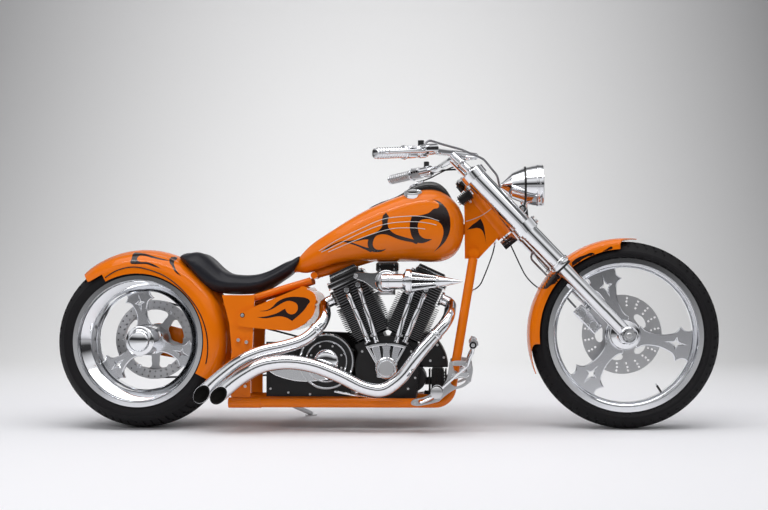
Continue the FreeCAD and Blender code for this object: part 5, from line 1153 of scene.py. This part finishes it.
def machineDetails():
    piece = Piece("frame_bolts", "frame", "steel", brushed, engineBlack, rubber, chrome)
    for side, _ in sides:
        piece.sideBolts(brushed, side * 142.6, [(388, 245)], 9, 6)
        piece.sideBolts(brushed, side * 142.6, [(408, 162)], 6, 6)
    # oil lines from the case to the regulator block
    for y in (-16, 16):
        line = [(1136, y, 190), (1168, y, 192), (1176, y, 160), (1150, y, 128), (1080, y, 126),
                (1056, y, 132)]
        piece.join(wirePart(line, 6), rubber)
    for rib in range(7):
        piece.join(boxPart((5, 104, 88), moved(1076 + rib * 10, 0, 174), 1), engineBlack)
    piece.join(sidePlate([nosePlate], -88, 46, 7), engineBlack)
    piece.sideBolts(brushed, -45.5, ((1070, 336), (1106, 308), (1130, 262), (1080, 250)), 5, 5)
    line = [(733, -122, 142), (800, -124, 128), (900, -124, 116), (1000, -124, 112), (1032, -110, 112)]
    piece.join(wirePart(line, 4.2), chrome)
    piece.done()


# Engine mount and ignition box between the heads, under the tank
def topMount():
    piece = Piece("top_mount", "frame", "engine_black", engineBlack, castAlloy, chrome, glossBlack)
    piece.join(boxPart((84, 74, 34), moved(922, -22, 597), 7), glossBlack)
    piece.join(boxPart((70, 60, 5), moved(922, -22, 615), 2), castAlloy)
    for x in (888, 956):
        piece.join(boxPart((8, 58, 40), moved(x, -22, 590), 2), castAlloy)
    piece.sideBolts(chrome, -59, ((896, 588), (948, 588), (896, 606), (948, 606)), 3.6, 3)
    for y in (-40, -22, -4):
        lead = [(922, y, 584), (925, y - 4, 572), (934, y - 10, 562), (948, y - 12, 556)]
        piece.join(wirePart(lead, 3.4), engineBlack)
    piece.done()


def coil():
    piece = Piece("horn_block", "frame", "engine_black", engineBlack, chrome, brushed)
    middle = (1212, -58, 852)
    place = moved(*middle) @ Matrix.Rotation(math.radians(-38), 4, "Y")
    piece.join(rodPart((-26, 0, 0), (26, 0, 0), 15, bevel=2), engineBlack, place)
    half = [(-2, 13), (-2, 20), (-1, 21)]
    for rib in range(7):
        ring = turnedPart(half + flipped(half), facing((-21 + rib * 7, 0, 0), forward), 40)
        piece.join(ring, engineBlack, place)
    for end in (-30, 30):
        piece.join(rodPart((end - 3, 0, 0), (end + 3, 0, 0), 11, sides=24, bevel=1), chrome, place)
    piece.join(rodPart(middle, (1232, -30, 838), 6, sides=16), brushed)
    piece.done()


gearboxCover()
pipeDetails()
sideCover()
machineDetails()
topMount()
coil()

pulleySizes = {
    "ring": 153.5, "ringInner": 116, "low": 129.2, "high": 134.8, "webOut": 140, "carriers": 120,
    "windows": ((-0.34, 64), (0, 60), (0.34, 64), (0.44, 84), (0.46, 108), (0.24, 116), (0, 118),
                (-0.24, 116), (-0.46, 108), (-0.44, 84)),
    "belt": [(-14.8, 134), (-14.8, 146), (-12.4, 146), (-12.2, 144.5), (12.2, 144.5), (12.4, 146),
             (14.8, 146), (14.8, 134), (11.8, 132), (-11.8, 132)],
    "hub": [(90.2, 26.2), (90.2, 47), (128, 52), (150, 56), (157.5, 56), (157.5, 26.2)],
}


def rearPulley():
    size = pulleySizes
    piece = Piece("rear_pulley_dressed", "rear_wheel", "alloy", castAlloy, brushed, chrome, engineBlack)
    place = moved(rearAxle.x, 0, rearAxle.z)
    outlines = [circle(size["ring"], count=24), circle(size["ringInner"], count=20)]
    outlines += drillings((125, 144), 36, 3.2, 1)
    piece.join(sidePlate(outlines, -size["high"], -size["low"], 0.6, steps=4), brushed, place)
    web = [circle(size["webOut"], count=24), circle(26.2, count=12)] + windowsRound(size["windows"], 5, 0.25)
    piece.join(sidePlate(web, -154.5, -145.5, steps=6), castAlloy, place)
    across = facing(rearAxle, toLeft)
    piece.join(turnedPart(size["belt"], across @ moved(0, 0, 158), 100), castAlloy)
    piece.join(turnedPart(size["hub"], across, 60), castAlloy)
    for x, z in circle(size["carriers"], (rearAxle.x, rearAxle.z), 6):
        piece.join(rodPart((x, 126, z), (x, 148, z), 8, sides=20, bevel=1), chrome)
        piece.join(boltPart((x, 127, z), toRight, 5, 4), brushed)
    piece.sideBolts(chrome, 157, circle(42, (rearAxle.x, rearAxle.z), 5, math.tau * 0.15), 5.5, 5)
    piece.done("rear_pulley")


stemSizes = {"neck": (1291, 0, 797), "up": (-0.6157, 0, 0.788), "ahead": (0.788, 0, 0.6157)}
legSizes = {"foot": (1794, 115, 344.1), "up": (-0.6858, 0, 0.7278), "ahead": (0.7278, 0, 0.6858)}
stemUp, stemAhead = Vector(stemSizes["up"]), Vector(stemSizes["ahead"])
legUp, legAhead = Vector(legSizes["up"]), Vector(legSizes["ahead"])


def legPoint(along, side, ahead=0):
    x, y, z = legSizes["foot"]
    return Vector((x, side * y, z)) + legUp * along + legAhead * ahead


# The caliper is shaped along its leg: x up the leg, y to the left, z to the rear
def frontCaliper():
    middle = Vector((1668.2, 71.1, 400.4))
    local = frameMatrix(middle, legUp, toLeft, legUp.cross(Vector(toLeft)))
    piece = Piece("front_caliper_dressed", "fork", "alloy", polished, brushed, chrome, engineBlack)
    for low, high in ((-22, -9.2), (1.6, 22)):
        piece.join(boxPart((114, high - low, 45), moved(0, (low + high) / 2, 0), 5), polished, local)
    piece.join(boxPart((58, 44, 13), moved(0, 0, -17), 4), polished, local)
    cap = [(21, 0), (21, 17), (24, 17), (25.5, 15), (25.5, 11), (24, 10), (24, 0)]
    for along in (-31, 31):
        for direction in (toLeft, toRight):
            piece.join(turnedPart(cap, facing((along, 0, 1), direction), 48), chrome, local)
    for along in (-50, -12, 12, 50):
        for side, _ in sides:
            piece.join(boltPart((along, side * 21.5, -14 * side), (0, side, 0), 4.4, 4), brushed, local)
    pipe = [(-44, 24, 12), (-40, 31, 16), (0, 33, 18), (40, 31, 16), (44, 24, 12)]
    piece.join(wirePart(pipe, 3), chrome, local)
    piece.join(rodPart((36, 14, -22), (36, 14, -34), 5, 4, 14, 1), brushed, local)
    for along in (-36, 36):
        start = middle + legUp * along + Vector((0, 13, 0)) + legAhead * 18
        seat = legPoint(127.3 + along, 1)
        piece.join(rodPart(start, seat - (seat - start).normalized() * 26, 9.5, 9.5, 28, 1), polished)
        piece.join(boltPart(start - legAhead * 2 + Vector((0, 4, 0)), toLeft, 5, 5), brushed)
    piece.done("front_caliper")


primarySizes = {"front": (922, 226, 112), "rear": (640, 250, 104), "low": 178, "high": 224}


# The primary case's outline, a half circle round each end, drawn in by spare
def stadium(spare, count=14):
    points = []
    for (x, z, radius), first in ((primarySizes["front"], -90), (primarySizes["rear"], 90)):
        for step in range(count):
            turn = math.radians(first + 180 * step / (count - 1))
            points.append((x + (radius - spare) * math.cos(turn), z + (radius - spare) * math.sin(turn)))
    return points


def primaryCover():
    low, high = primarySizes["low"], primarySizes["high"]
    piece = Piece("primary_cover_dressed", "frame", "engine_black", engineBlack, chrome, brushed, glossBlack)
    piece.join(sidePlate([stadium(0)], -206, -low, 3), engineBlack)
    piece.join(sidePlate([stadium(1)], -209, -206, 1), brushed)
    piece.join(sidePlate([stadium(7)], -high, -208, 6), glossBlack)
    piece.join(rodPart((922, 95.6, 226), (922, low + 1, 226), 78, sides=64), engineBlack)
    for (x, z), radius in (((640, 250), 62), ((922, 226), 50)):
        dome = [(220, 0), (220, radius), (225, radius), (228, radius - 4), (229.5, radius - 14), (230, 0)]
        piece.join(turnedPart(dome, facing((x, 0, z), toLeft)), chrome)
        piece.sideBolts(brushed, 227.5, circle(radius - 9, (x, z), 5), 3.6, 2.4, 12)
    piece.sideBolts(brushed, 223, stadium(10, 6), 4.6, 4)
    for rib in range(5):
        piece.join(boxPart((5, 5, 120), moved(752 + rib * 14, 224, 240), 2), engineBlack)
    piece.done("primary_cover")


rearPulley()
frontCaliper()
primaryCover()

print("controls and stand")
# Places are shares of the reach from the peg, at (forward, up), and the toe's are millimetres from its pad
controlSizes = {
    "peg": (1108, 149), "reach": 110, "low": 158, "high": 174,
    "plate": [
        [(0.40, 0.92, 1), (0.62, 0.97), (1.08, 0.93, 1), (1.15, 0.78), (1.10, 0.30, 1), (0.86, 0.12),
         (0.55, 0.02), (0.30, -0.14), (0.05, -0.36, 1), (-0.40, -0.47), (-0.76, -0.49), (-0.86, -0.42),
         (-0.82, -0.33), (-0.45, -0.22), (-0.10, -0.05), (0.12, 0.08), (0.30, 0.35, 1), (0.36, 0.62)],
        [(0.52, 0.80, 1), (0.98, 0.80, 1), (0.94, 0.52, 1), (0.60, 0.46, 1)],
        [(0.44, 0.30), (0.62, 0.38), (0.92, 0.34), (0.80, 0.20), (0.56, 0.14)],
        [(-0.62, -0.36), (-0.30, -0.28), (-0.12, -0.22), (-0.28, -0.36)],
    ],
    "band": [(0.46, 0.50), (0.70, 0.58), (1.02, 0.56), (1.02, 0.46), (0.72, 0.44), (0.52, 0.38)],
    "bolts": ((0.52, 0.88), (1.04, 0.86), (1.02, 0.28), (0.10, -0.24), (-0.72, -0.41)),
    "pegRings": 8, "padRings": 6,
    "toe": [(-14, -6, 1), (4, -14), (20, -4, 1), (14, 16), (-4, 22, 1)],
}


# Parts of the right control with their finishes; the left one is their mirror image
def controlParts():
    size = controlSizes
    x, z = size["peg"]
    reach, low, high = size["reach"], size["low"], size["high"]

    def spread(points):
        return [(x + reach * point[0], z + reach * point[1], *point[2:]) for point in points]

    peg = facing((x, 0, z), toRight)
    pegProfile = [(high - 2, 0), (high - 2, 21), (high + 8, 21), (high + 10, 15), (high + 22, 15),
                  (high + 24, 19), (284, 19), (284, 0)]
    yield sidePlate([spread(outline) for outline in size["plate"]], low, high, 2.5), castAlloy
    yield sidePlate([spread(size["band"])], low - 3, high + 4, 2), chrome
    yield turnedPart(pegProfile, peg, 48), chrome
    yield turnedPart([(282, 0), (282, 21), (288, 21), (290, 18), (290, 0)], peg, 48), brushed
    yield rodPart((x + 60.5, -128, z + 55), (x + 60.5, -low - 1, z + 55), 15, sides=32, bevel=1.5), castAlloy
    for ring in range(size["pegRings"]):
        profile = [(-2.6, 18), (-2.6, 20.6), (2.6, 20.6), (2.6, 18)]
        yield turnedPart(profile, facing((x, -206 - ring * 9.4, z), toRight), 40), rubber
    pivot = Vector((x + 110, -high, z + 88))
    pad = pivot + Vector((18, -12, 77))
    arm = [pivot - Vector((0, 6, 0)), pivot + Vector((4, -8, 28)), pivot + Vector((20, -10, 52)), pad]
    yield rodPart(pivot + Vector((0, 22, 0)), pivot - Vector((0, 12, 0)), 12, sides=28, bevel=1.5), brushed
    yield wirePart(arm, 6.5, sides=4), chrome
    yield rodPart(pad + Vector((0, 8, 0)), (pad.x, -272, pad.z), 7, sides=20, bevel=1), chrome
    yield rodPart((pad.x, -206, pad.z), (pad.x, -270, pad.z), 12.4, sides=24, bevel=2), rubber
    for ring in range(size["padRings"]):
        profile = [(-1.8, 11), (-1.8, 13.6), (1.8, 13.6), (1.8, 11)]
        yield turnedPart(profile, facing((pad.x, -212 - ring * 10.4, pad.z), toRight), 28), brushed
    toe = [(pad.x + point[0], pad.z + point[1], *point[2:]) for point in size["toe"]]
    yield sidePlate([toe], 184, 192, 2), chrome
    rod = [(x - 60, -high - 6, z - 44), (x - 20, -high - 10, z - 30), (x + 34, -high - 8, z + 26),
           pivot - Vector((0, 8, 0))]
    yield wirePart(rod, 4.5), chrome
    for along, up in spread(size["bolts"]):
        yield boltPart((along, -high + 0.5, up), toRight, 5, 5), brushed


def forwardControls():
    for side, name in sides:
        node = "forward_control_" + name
        piece = Piece(node + "_dressed", "frame", "alloy", castAlloy, chrome, rubber, brushed)
        place = Matrix.Scale(-1, 4, toLeft) if side > 0 else None
        for part, finish in controlParts():
            piece.join(part, finish, place)
        piece.done(node)


forwardControls()

print("fork and bars")
barSizes = {
    "end": (908, 425, 972), "run": (0.782, 0.615, 0.102), "grip": 118, "switch": 52, "perch": 44, "rings": 10,
    "endCap": [(-5, 0), (-5, 14), (-3, 18), (1, 18.5), (3, 16.8), (3, 0)],
    "ring": [(-3.6, 15), (-3.6, 18.2), (-2.2, 19.6)],
    "flange": [(-4, 14), (-4, 24), (-1, 25.5), (2, 25.5), (4, 22), (4, 14)],
}


# Bar end frame: x along the grip to the middle, y ahead, z up
def barFrame(side):
    x, y, z = barSizes["end"]
    inward, across, rise = barSizes["run"]
    run = Vector((inward, -side * across, rise)).normalized()
    ahead = run.cross(Vector((0, 0, 1))).normalized()
    if ahead.x < 0:
        ahead = -ahead
    up = ahead.cross(run)
    return frameMatrix((x, side * y, z), run, ahead, up if up.z > 0 else -up)


def barControls():
    size = barSizes
    grip = size["grip"]
    switch = grip + size["switch"] / 2
    perch = grip + size["switch"] + size["perch"] / 2
    for side, name in sides:
        piece = Piece("grip_%s_dressed" % name, "fork", "chrome", chrome, castAlloy, rubber, glossBlack)
        main = chrome if side < 0 else castAlloy
        local = barFrame(side)
        parts = [(turnedPart(size["endCap"], facing((0, 0, 0), forward), 48), chrome),
                 (turnedPart(size["flange"], facing((grip, 0, 0), forward), 48), chrome),
                 (boxPart((44, 42, 44), moved(switch, 0, 0), 9), main),
                 (boxPart((26, 30, 46), moved(perch, 6, 0), 6), main)]
        for ring in range(size["rings"]):
            profile = size["ring"] + flipped(size["ring"])
            parts.append((turnedPart(profile, facing((10 + ring * 10.6, 0, 0), forward), 48), main))
        for offset, finish in ((-12, rubber), (2, glossBlack), (15, rubber)):
            button = rodPart((switch + offset, -20, 4), (switch + offset, -25, 5), 4.6, sides=20, bevel=1)
            parts.append((button, finish))
        if side < 0:   # brake fluid box
            parts += [(boxPart((62, 34, 24), moved(perch + 8, 40, 6), 6), chrome),
                      (boxPart((58, 32, 4), moved(perch + 8, 40, 20), 1.5), castAlloy)]
            for offset in (-20, 36):
                parts.append((boltPart((perch + offset, 40, 21), (0, 0, 1), 3.4, 2, 12), glossBlack))
        blade = [(perch + 2, 30, -2), (perch - 12, 44, -2), (perch - 44, 53, -1), (perch - 96, 54, 0),
                 (perch - 146, 51, 0), (12, 52.5, 0)]
        ball = bmesh.new()
        bmesh.ops.create_uvsphere(ball, u_segments=20, v_segments=12, radius=8.6)
        ball.transform(moved(12, 52.5, 0))
        parts += [(wirePart(blade, 6.6, sides=4), chrome), (ball, chrome),
                  (rodPart((perch + 2, 30, -12), (perch + 2, 30, 12), 8, sides=20, bevel=1.5), glossBlack)]
        for part, finish in parts:
            piece.join(part, finish, local)
        piece.done()


legTrim = {
    "collar": [(342, 33), (342, 36.6), (345, 38.4), (352, 38.4), (354, 36.4), (356, 36.4), (358, 39.6),
               (364, 39.6), (366, 38), (366, 33)],
    "wiper": [(334, 30), (334, 35.6), (341, 35.6), (341, 30)],
    "top": [(808, 36), (808, 39.4), (811, 41), (816, 41), (819, 39.4), (819, 36)],
    "axleCap": [(0, 12), (0, 26), (3, 30), (3.5, 31.6), (-6, 31.6), (-6, 12)],
}


def legDetails():
    trim = Piece("fork_trim", "fork", "chrome", chrome, engineBlack, brushed)
    for side, _ in sides:
        across = Vector((0, side, 0))
        foot, top = legPoint(0, side), legPoint(866, side)
        leg = facing(foot, legUp)
        trim.join(turnedPart(legTrim["collar"], leg, 64), chrome)
        trim.join(turnedPart(legTrim["wiper"], leg, 56), engineBlack)
        trim.join(turnedPart(legTrim["top"], leg, 56), chrome)
        trim.join(turnedPart(legTrim["axleCap"], facing(foot + across * 24, across), 60), chrome)
        trim.join(rodPart(foot + across * 36, foot + across * 40, 11, 8, 24, 1), brushed)
        trim.join(rodPart(top - legUp * 4, top + legUp * 6, 20, 18, 6, 1.5), chrome)
        trim.bolts(brushed, legAhead, [legPoint(along, side, 47.5) for along in (525, 545)], 5.5, 6)
        trim.bolts(brushed, -legUp, [legPoint(-24, side, ahead) for ahead in (-16, 16)], 4, 5)
        trim.join(boltPart(legPoint(36, side) + across * 27, across, 5, 3), brushed)
    trim.done()


def stemDetails():
    head = Piece("stem_trim", "fork", "chrome", chrome, engineBlack, brushed)
    neck = Vector(stemSizes["neck"])
    top = neck + stemUp * 162
    head.join(rodPart(top - stemUp * 30, top - stemUp * 2, 24, 24, 6, 2), chrome)
    head.join(rodPart(top - stemUp * 4, top + stemUp * 3, 15, 12, 32, 2), brushed)
    riser = [(0, 0), (0, 16), (6, 17), (9, 15.5), (9, 0)]
    for side, _ in sides:
        clamp = neck + stemUp * 146
        spots = [clamp + Vector((0, side * 76, 0)) + stemAhead * 20, clamp + Vector((0, side * 152, 0))]
        head.bolts(brushed, stemUp, spots, 6, 5)
        head.join(turnedPart(riser, facing((1235, side * 115, 938), (-0.6, -side * 0.18, 0.78)), 40), chrome)
        low = neck - stemUp * 134 + Vector((0, side * 70, 0)) + stemAhead * 52
        head.bolts(brushed, stemAhead, [low - stemUp * 9, low + stemUp * 9], 5, 6)
    head.done()


# Profiles along the headlight's axis
headlightSizes = {
    "height": 899,
    "rim": [(1477, 74), (1475, 77.4), (1478, 79.4), (1482, 79.4), (1484, 77.8), (1495, 77.8), (1497, 79),
            (1500, 78.4), (1502, 75.5), (1500.5, 71.5), (1496.5, 71.5), (1496.5, 74)],
    "band": [(1432, 60), (1430, 70.8), (1432, 72.6), (1436, 73.4), (1438, 71.8), (1438, 60)],
    "tail": [(1352, 0), (1352, 14), (1345, 10), (1343.5, 4), (1343, 0)],
    "bowl": [(1442, 0), (1442, 22), (1452, 44), (1466, 60), (1484, 70), (1485.5, 71), (1484, 72), (1464, 63),
             (1448, 48), (1438, 22), (1438, 0)],
    "bulb": [(1444, 0), (1444, 8), (1470, 8), (1474, 15), (1478, 15), (1478, 0)],
}


def headlightTrim():
    size = headlightSizes
    along = facing((0, 0, size["height"]), forward)
    trim = Piece("headlight_trim", "fork", "chrome", chrome, glossBlack, brushed)
    for name, steps, finish in (("rim", 80, chrome), ("band", 72, glossBlack), ("tail", 36, chrome),
                                ("bowl", 72, chrome), ("bulb", 28, brushed)):
        trim.join(turnedPart(size[name], along, steps), finish)
    for y, z in circle(1, count=3, start=math.radians(60)):
        trim.join(boltPart((1489, 77.2 * y, size["height"] + 77.2 * z), (0, y, z), 3, 1.6, 10), brushed)
    trim.join(boltPart((1424, -13, 812), toRight, 8, 5), brushed)
    trim.join(rodPart((1424, -15, 812), (1424, 15, 812), 17, sides=32, bevel=3), chrome)
    trim.done()


cableRuns = {
    "clutch": {"radius": 3.6, "body": "fork", "line": [
        (1060, 290, 979), (1085, 282, 984), (1113, 268, 990), (1161, 230, 990), (1231, 160, 981),
        (1266, 112, 946), (1276, 84, 905), (1282, 70, 870), (1290, 58, 838)]},
    "switchLeft": {"radius": 2.6, "body": "fork", "line": [
        (1020, 318, 950), (1060, 285, 955), (1110, 230, 975), (1160, 140, 988), (1190, 80, 985),
        (1230, 30, 950)]},
    "underNeck": {"radius": 2.4, "body": "frame", "line": [
        (1322, -34, 690), (1316, -38, 655), (1300, -38, 610), (1280, -34, 560), (1262, -30, 520),
        (1232, -24, 506)]},
    "underNeckFront": {"radius": 2.4, "body": "fork", "line": [
        (1372, -40, 690), (1388, -44, 655), (1408, -46, 610), (1432, -46, 560), (1462, -44, 528),
        (1486, -30, 512)]},
}


def cables():
    for name, run in cableRuns.items():
        line, radius = run["line"], run["radius"]
        piece = Piece("cable_" + name, run["body"], "belt", rubber, chrome)
        piece.join(wirePart(line, radius), rubber)
        for end, other in ((line[0], line[1]), (line[-1], line[-2])):
            tip = Vector(end)
            inward = (Vector(other) - tip).normalized()
            piece.join(rodPart(tip, tip + inward * 16, radius + 2, radius + 1, 16, 1), chrome)
        piece.done()


barControls()
legDetails()
stemDetails()
headlightTrim()
cables()

print("tank, dash and fenders")
dashSizes = {
    "gaugeRim": [(-4, 0), (-4, 31), (2, 31), (3.5, 29.5), (3.5, 27), (1.5, 26), (1.5, 0)],
    "gaugeGlass": [(0.8, 0), (0.8, 26.2), (2.4, 26), (2.6, 0)],
    "button": [(-3, 0), (-3, 8.5), (1.4, 8.5), (2, 7), (2, 0)],
}


# A frame on the skin under a point above the machine's middle
def skinFrame(tree, x):
    place, normal, _, _ = tree.ray_cast(Vector((x, 0, 1200)), Vector((0, 0, -1)))
    return facing(place, normal)


def dashTrim():
    size = dashSizes
    piece = Piece("dash_trim", "frame", "chrome", chrome, glossBlack, brushed)
    tree = surfaceOf("dash_panel")
    gauge = skinFrame(tree, 1030)
    piece.join(turnedPart(size["gaugeRim"], gauge, 56), chrome)
    piece.join(turnedPart(size["gaugeGlass"], gauge, 48), glossBlack)
    for x in (900, 860):
        piece.join(turnedPart(size["button"], skinFrame(tree, x), 28), brushed)
    piece.done()


def capTrim():
    tilt = math.radians(24)
    out = Vector((0, -math.sin(tilt), math.cos(tilt)))
    place, normal, _, _ = surfaceOf("filler_cap").ray_cast(Vector((1020, -76, 865)) + out * 120, -out)
    piece = Piece("filler_cap_trim", "frame", "chrome", chrome, glossBlack, brushed)
    cap = facing(place, normal)
    ring = [(-0.6, 20), (-0.6, 24), (1.2, 24), (2.0, 23), (2.0, 21), (1.2, 20)]
    piece.join(turnedPart(ring, cap, 56), brushed)
    piece.join(turnedPart([(-1, 0), (-1, 19.5), (0.5, 19.5), (1.0, 18), (1.0, 0)], cap, 48), glossBlack)
    piece.done()


# The bead's points are spread from the axle by "out"
beadSizes = {
    "radius": 2.2, "out": 1.055,
    "line": [(-112, 548), (-87, 566), (-55, 579), (-23, 585), (9, 584), (58, 571), (101, 553), (144, 522),
             (186, 479), (219, 434), (241, 384), (253, 329), (252, 269), (246, 247)],
}


def fenderTrim():
    size = beadSizes
    piece = Piece("fender_bead_rear", "frame", "paint", flamePaint, paintOrange)
    tree = surfaceOf("rear_fender")
    out, middle = size["out"], rearAxle.z
    line = [(x * out, middle + (z - middle) * out) for x, z in size["line"]]
    for side, _ in sides:
        piece.join(wirePart(skinLine(tree, line, side, 0.4), size["radius"]), flamePaint)
    piece.done()


dashTrim()
capTrim()
fenderTrim()

print("camera, floor and light")
view = {"aside": 1.207, "back": 4.447, "height": 0.643, "turn": 3.84, "roll": 0.34, "lens": 56.0}


def makeCamera():
    data = bpy.data.cameras.new("camera")
    data.lens = view["lens"]
    data.sensor_width = 36.0
    camera = addObject("camera", data)
    turn, roll = math.radians(view["turn"]), math.radians(view["roll"])
    back = Vector((math.sin(turn), -math.cos(turn), 0))
    right = Vector((math.cos(turn), math.sin(turn), 0))
    up = Vector((0, 0, 1))
    place = ((toRow @ Vector((view["aside"], 0, 0))).x, toRow.translation.y - view["back"], view["height"])
    rolledRight = right * math.cos(roll) - up * math.sin(roll)
    rolledUp = right * math.sin(roll) + up * math.cos(roll)
    camera.matrix_world = frameMatrix(place, rolledRight, rolledUp, back)
    bpy.context.scene.camera = camera


# The sheet's colour carries painted light: a painted pool of light on the wall round x = glow, darker towards its
# sides, top and bottom, and a painted fade from the floor's even colour into it towards the back
studio = {
    "side": 9.0, "front": -5.2, "bend": 2.4, "bendRadius": 4.0, "bendSteps": 24, "top": 8.0,
    "glow": -0.85, "spread": 3.2, "fadeStart": 0.6, "fade": 2.0,
    "floor": (0.86, 0.86, 0.885), "wallDark": (0.10, 0.10, 0.105), "wallBright": (0.90, 0.90, 0.90),
}


def sheetPaper():
    size = studio
    paint = Paint("studio_paper")
    place = paint.node("SeparateXYZ", {}, {"Vector": paint.place})
    # Painted light on the wall: brightest round x = glow about 2 m up, painted darker towards the sides, top and
    # bottom
    aside = (place["X"] - size["glow"]) / size["spread"]
    rise = (place["Z"] - 2.0) / 3.4
    wall = (1.0 - aside * aside * 0.44 - rise * rise * 0.22).atLeast(0.2)
    # Painted shade towards the back: past fadeStart the floor's even colour runs, over fade, into the wall's
    # painted light and shade
    back = ((place["Y"] - size["fadeStart"]) / size["fade"]).clamped()
    colour = paint.mix(back, size["floor"], paint.mix(wall, size["wallDark"], size["wallBright"]))
    paper = paint.node("BsdfPrincipled", {}, {
        "Base Color": colour, "Roughness": 0.75, "Specular IOR Level": 0.1})
    clear = paint.node("BsdfTransparent")
    behind = paint.node("NewGeometry")["Backfacing"]   # from behind the sheet the machine is seen through it
    paint.node("OutputMaterial", {}, {"Surface": paint.mixShader(behind, paper["BSDF"], clear["BSDF"])})
    return paint.material


# A sheet that runs under the machine and bends up behind it, with no edge between floor and wall
def makeStage():
    size = studio
    bend, radius = size["bend"], size["bendRadius"]
    line = [(size["front"], 0.0), (bend, 0.0)]
    for step in range(1, size["bendSteps"] + 1):
        turn = math.radians(90 * step / size["bendSteps"])
        line.append((bend + math.sin(turn) * radius, (1 - math.cos(turn)) * radius))
    line.append((line[-1][0], size["top"]))
    bm = bmesh.new()
    rows = [[bm.verts.new((x, y, z)) for x in (-size["side"], size["side"])] for y, z in line]
    for low, high in zip(rows, rows[1:]):
        bm.faces.new((*low, *reversed(high)))   # faces look in, at the machine
    data = meshOf(bm, "studio_sheet")
    data.shade_smooth()
    data.materials.append(sheetPaper())
    sheet = addObject("studio_sheet", data)


def ramp(sky, stops, factor):
    made = sky.node("ValToRGB", {}, {"Fac": factor})
    elements = made.made.color_ramp.elements
    while len(elements) < len(stops):
        elements.new(0.5)
    for element, (place, shade) in zip(elements, stops):
        element.position = place
        element.color = (shade, shade, shade * 1.02, 1.0)
    return made["Color"]


# Shades at heights from straight down (0) over the horizon (0.5) to straight up (1)
skyShades = {
    "even": [(0.0, 0.5), (0.45, 0.5), (0.7, 0.66), (1.0, 0.85)],
    "panels": [(0.0, 0.35), (0.44, 0.35), (0.47, 0.45), (0.50, 0.42), (0.54, 0.04), (0.60, 0.03), (0.66, 0.5),
               (0.73, 0.9), (0.79, 0.8), (0.85, 0.1), (0.90, 0.06), (0.97, 0.7)],
    "seen": (0.66, 0.66, 0.68),
}


# What lights the machine is soft and even, what metal mirrors has dark gaps between bright panels,
# and what is seen past the sheet is pale
def makeWorld():
    world = bpy.data.worlds.new("studio")
    bpy.context.scene.world = world
    world.use_nodes = True
    sky = Graph(world.node_tree)
    direction = sky.node("SeparateXYZ", {}, {"Vector": sky.node("TexCoord")["Generated"]})
    height = sky.node("MapRange", {}, {"Value": direction["Z"], "From Min": -1.0})["Result"]
    even = ramp(sky, skyShades["even"], height)
    panels = ramp(sky, skyShades["panels"], height)
    light, mirrored, seen = [
        sky.node("Background", {}, {"Color": colour, "Strength": strength})["Background"]
        for colour, strength in ((even, 0.52), (panels, 1.0), (skyShades["seen"], 1.0))]
    rays = sky.node("LightPath")
    around = sky.mixShader(rays["Is Glossy Ray"], light, mirrored)
    sky.node("OutputWorld", {}, {"Surface": sky.mixShader(rays["Is Camera Ray"], around, seen)})


def makeLamp(name, place, target, size, power, mirrored=True):
    data = bpy.data.lights.new(name, "AREA")
    data.shape = "RECTANGLE"
    data.size, data.size_y = size
    data.energy = power
    lamp = addObject(name, data)
    lamp.location = place
    lamp.visible_glossy = mirrored
    lamp.rotation_euler = (Vector(target) - Vector(place)).to_track_quat("-Z", "Y").to_euler()


makeCamera()
makeStage()
makeWorld()
makeLamp("overhead", (0.0, -0.7, 3.4), (0, 0, 0.4), (5.6, 2.8), 82.8)
makeLamp("highlight", (-0.2, -1.5, 3.2), (0, 0, 0.5), (4.2, 0.16), 23.92)
makeLamp("front_soft", (-1.4, -3.8, 2.4), (0, 0, 0.4), (2.4, 1.2), 29.44, mirrored=False)
makeLamp("wall_wash", (0.0, 1.6, 3.4), (0, 5.5, 1.6), (5.0, 1.0), 101.2)

bpy.context.scene.view_settings.view_transform = "Standard"
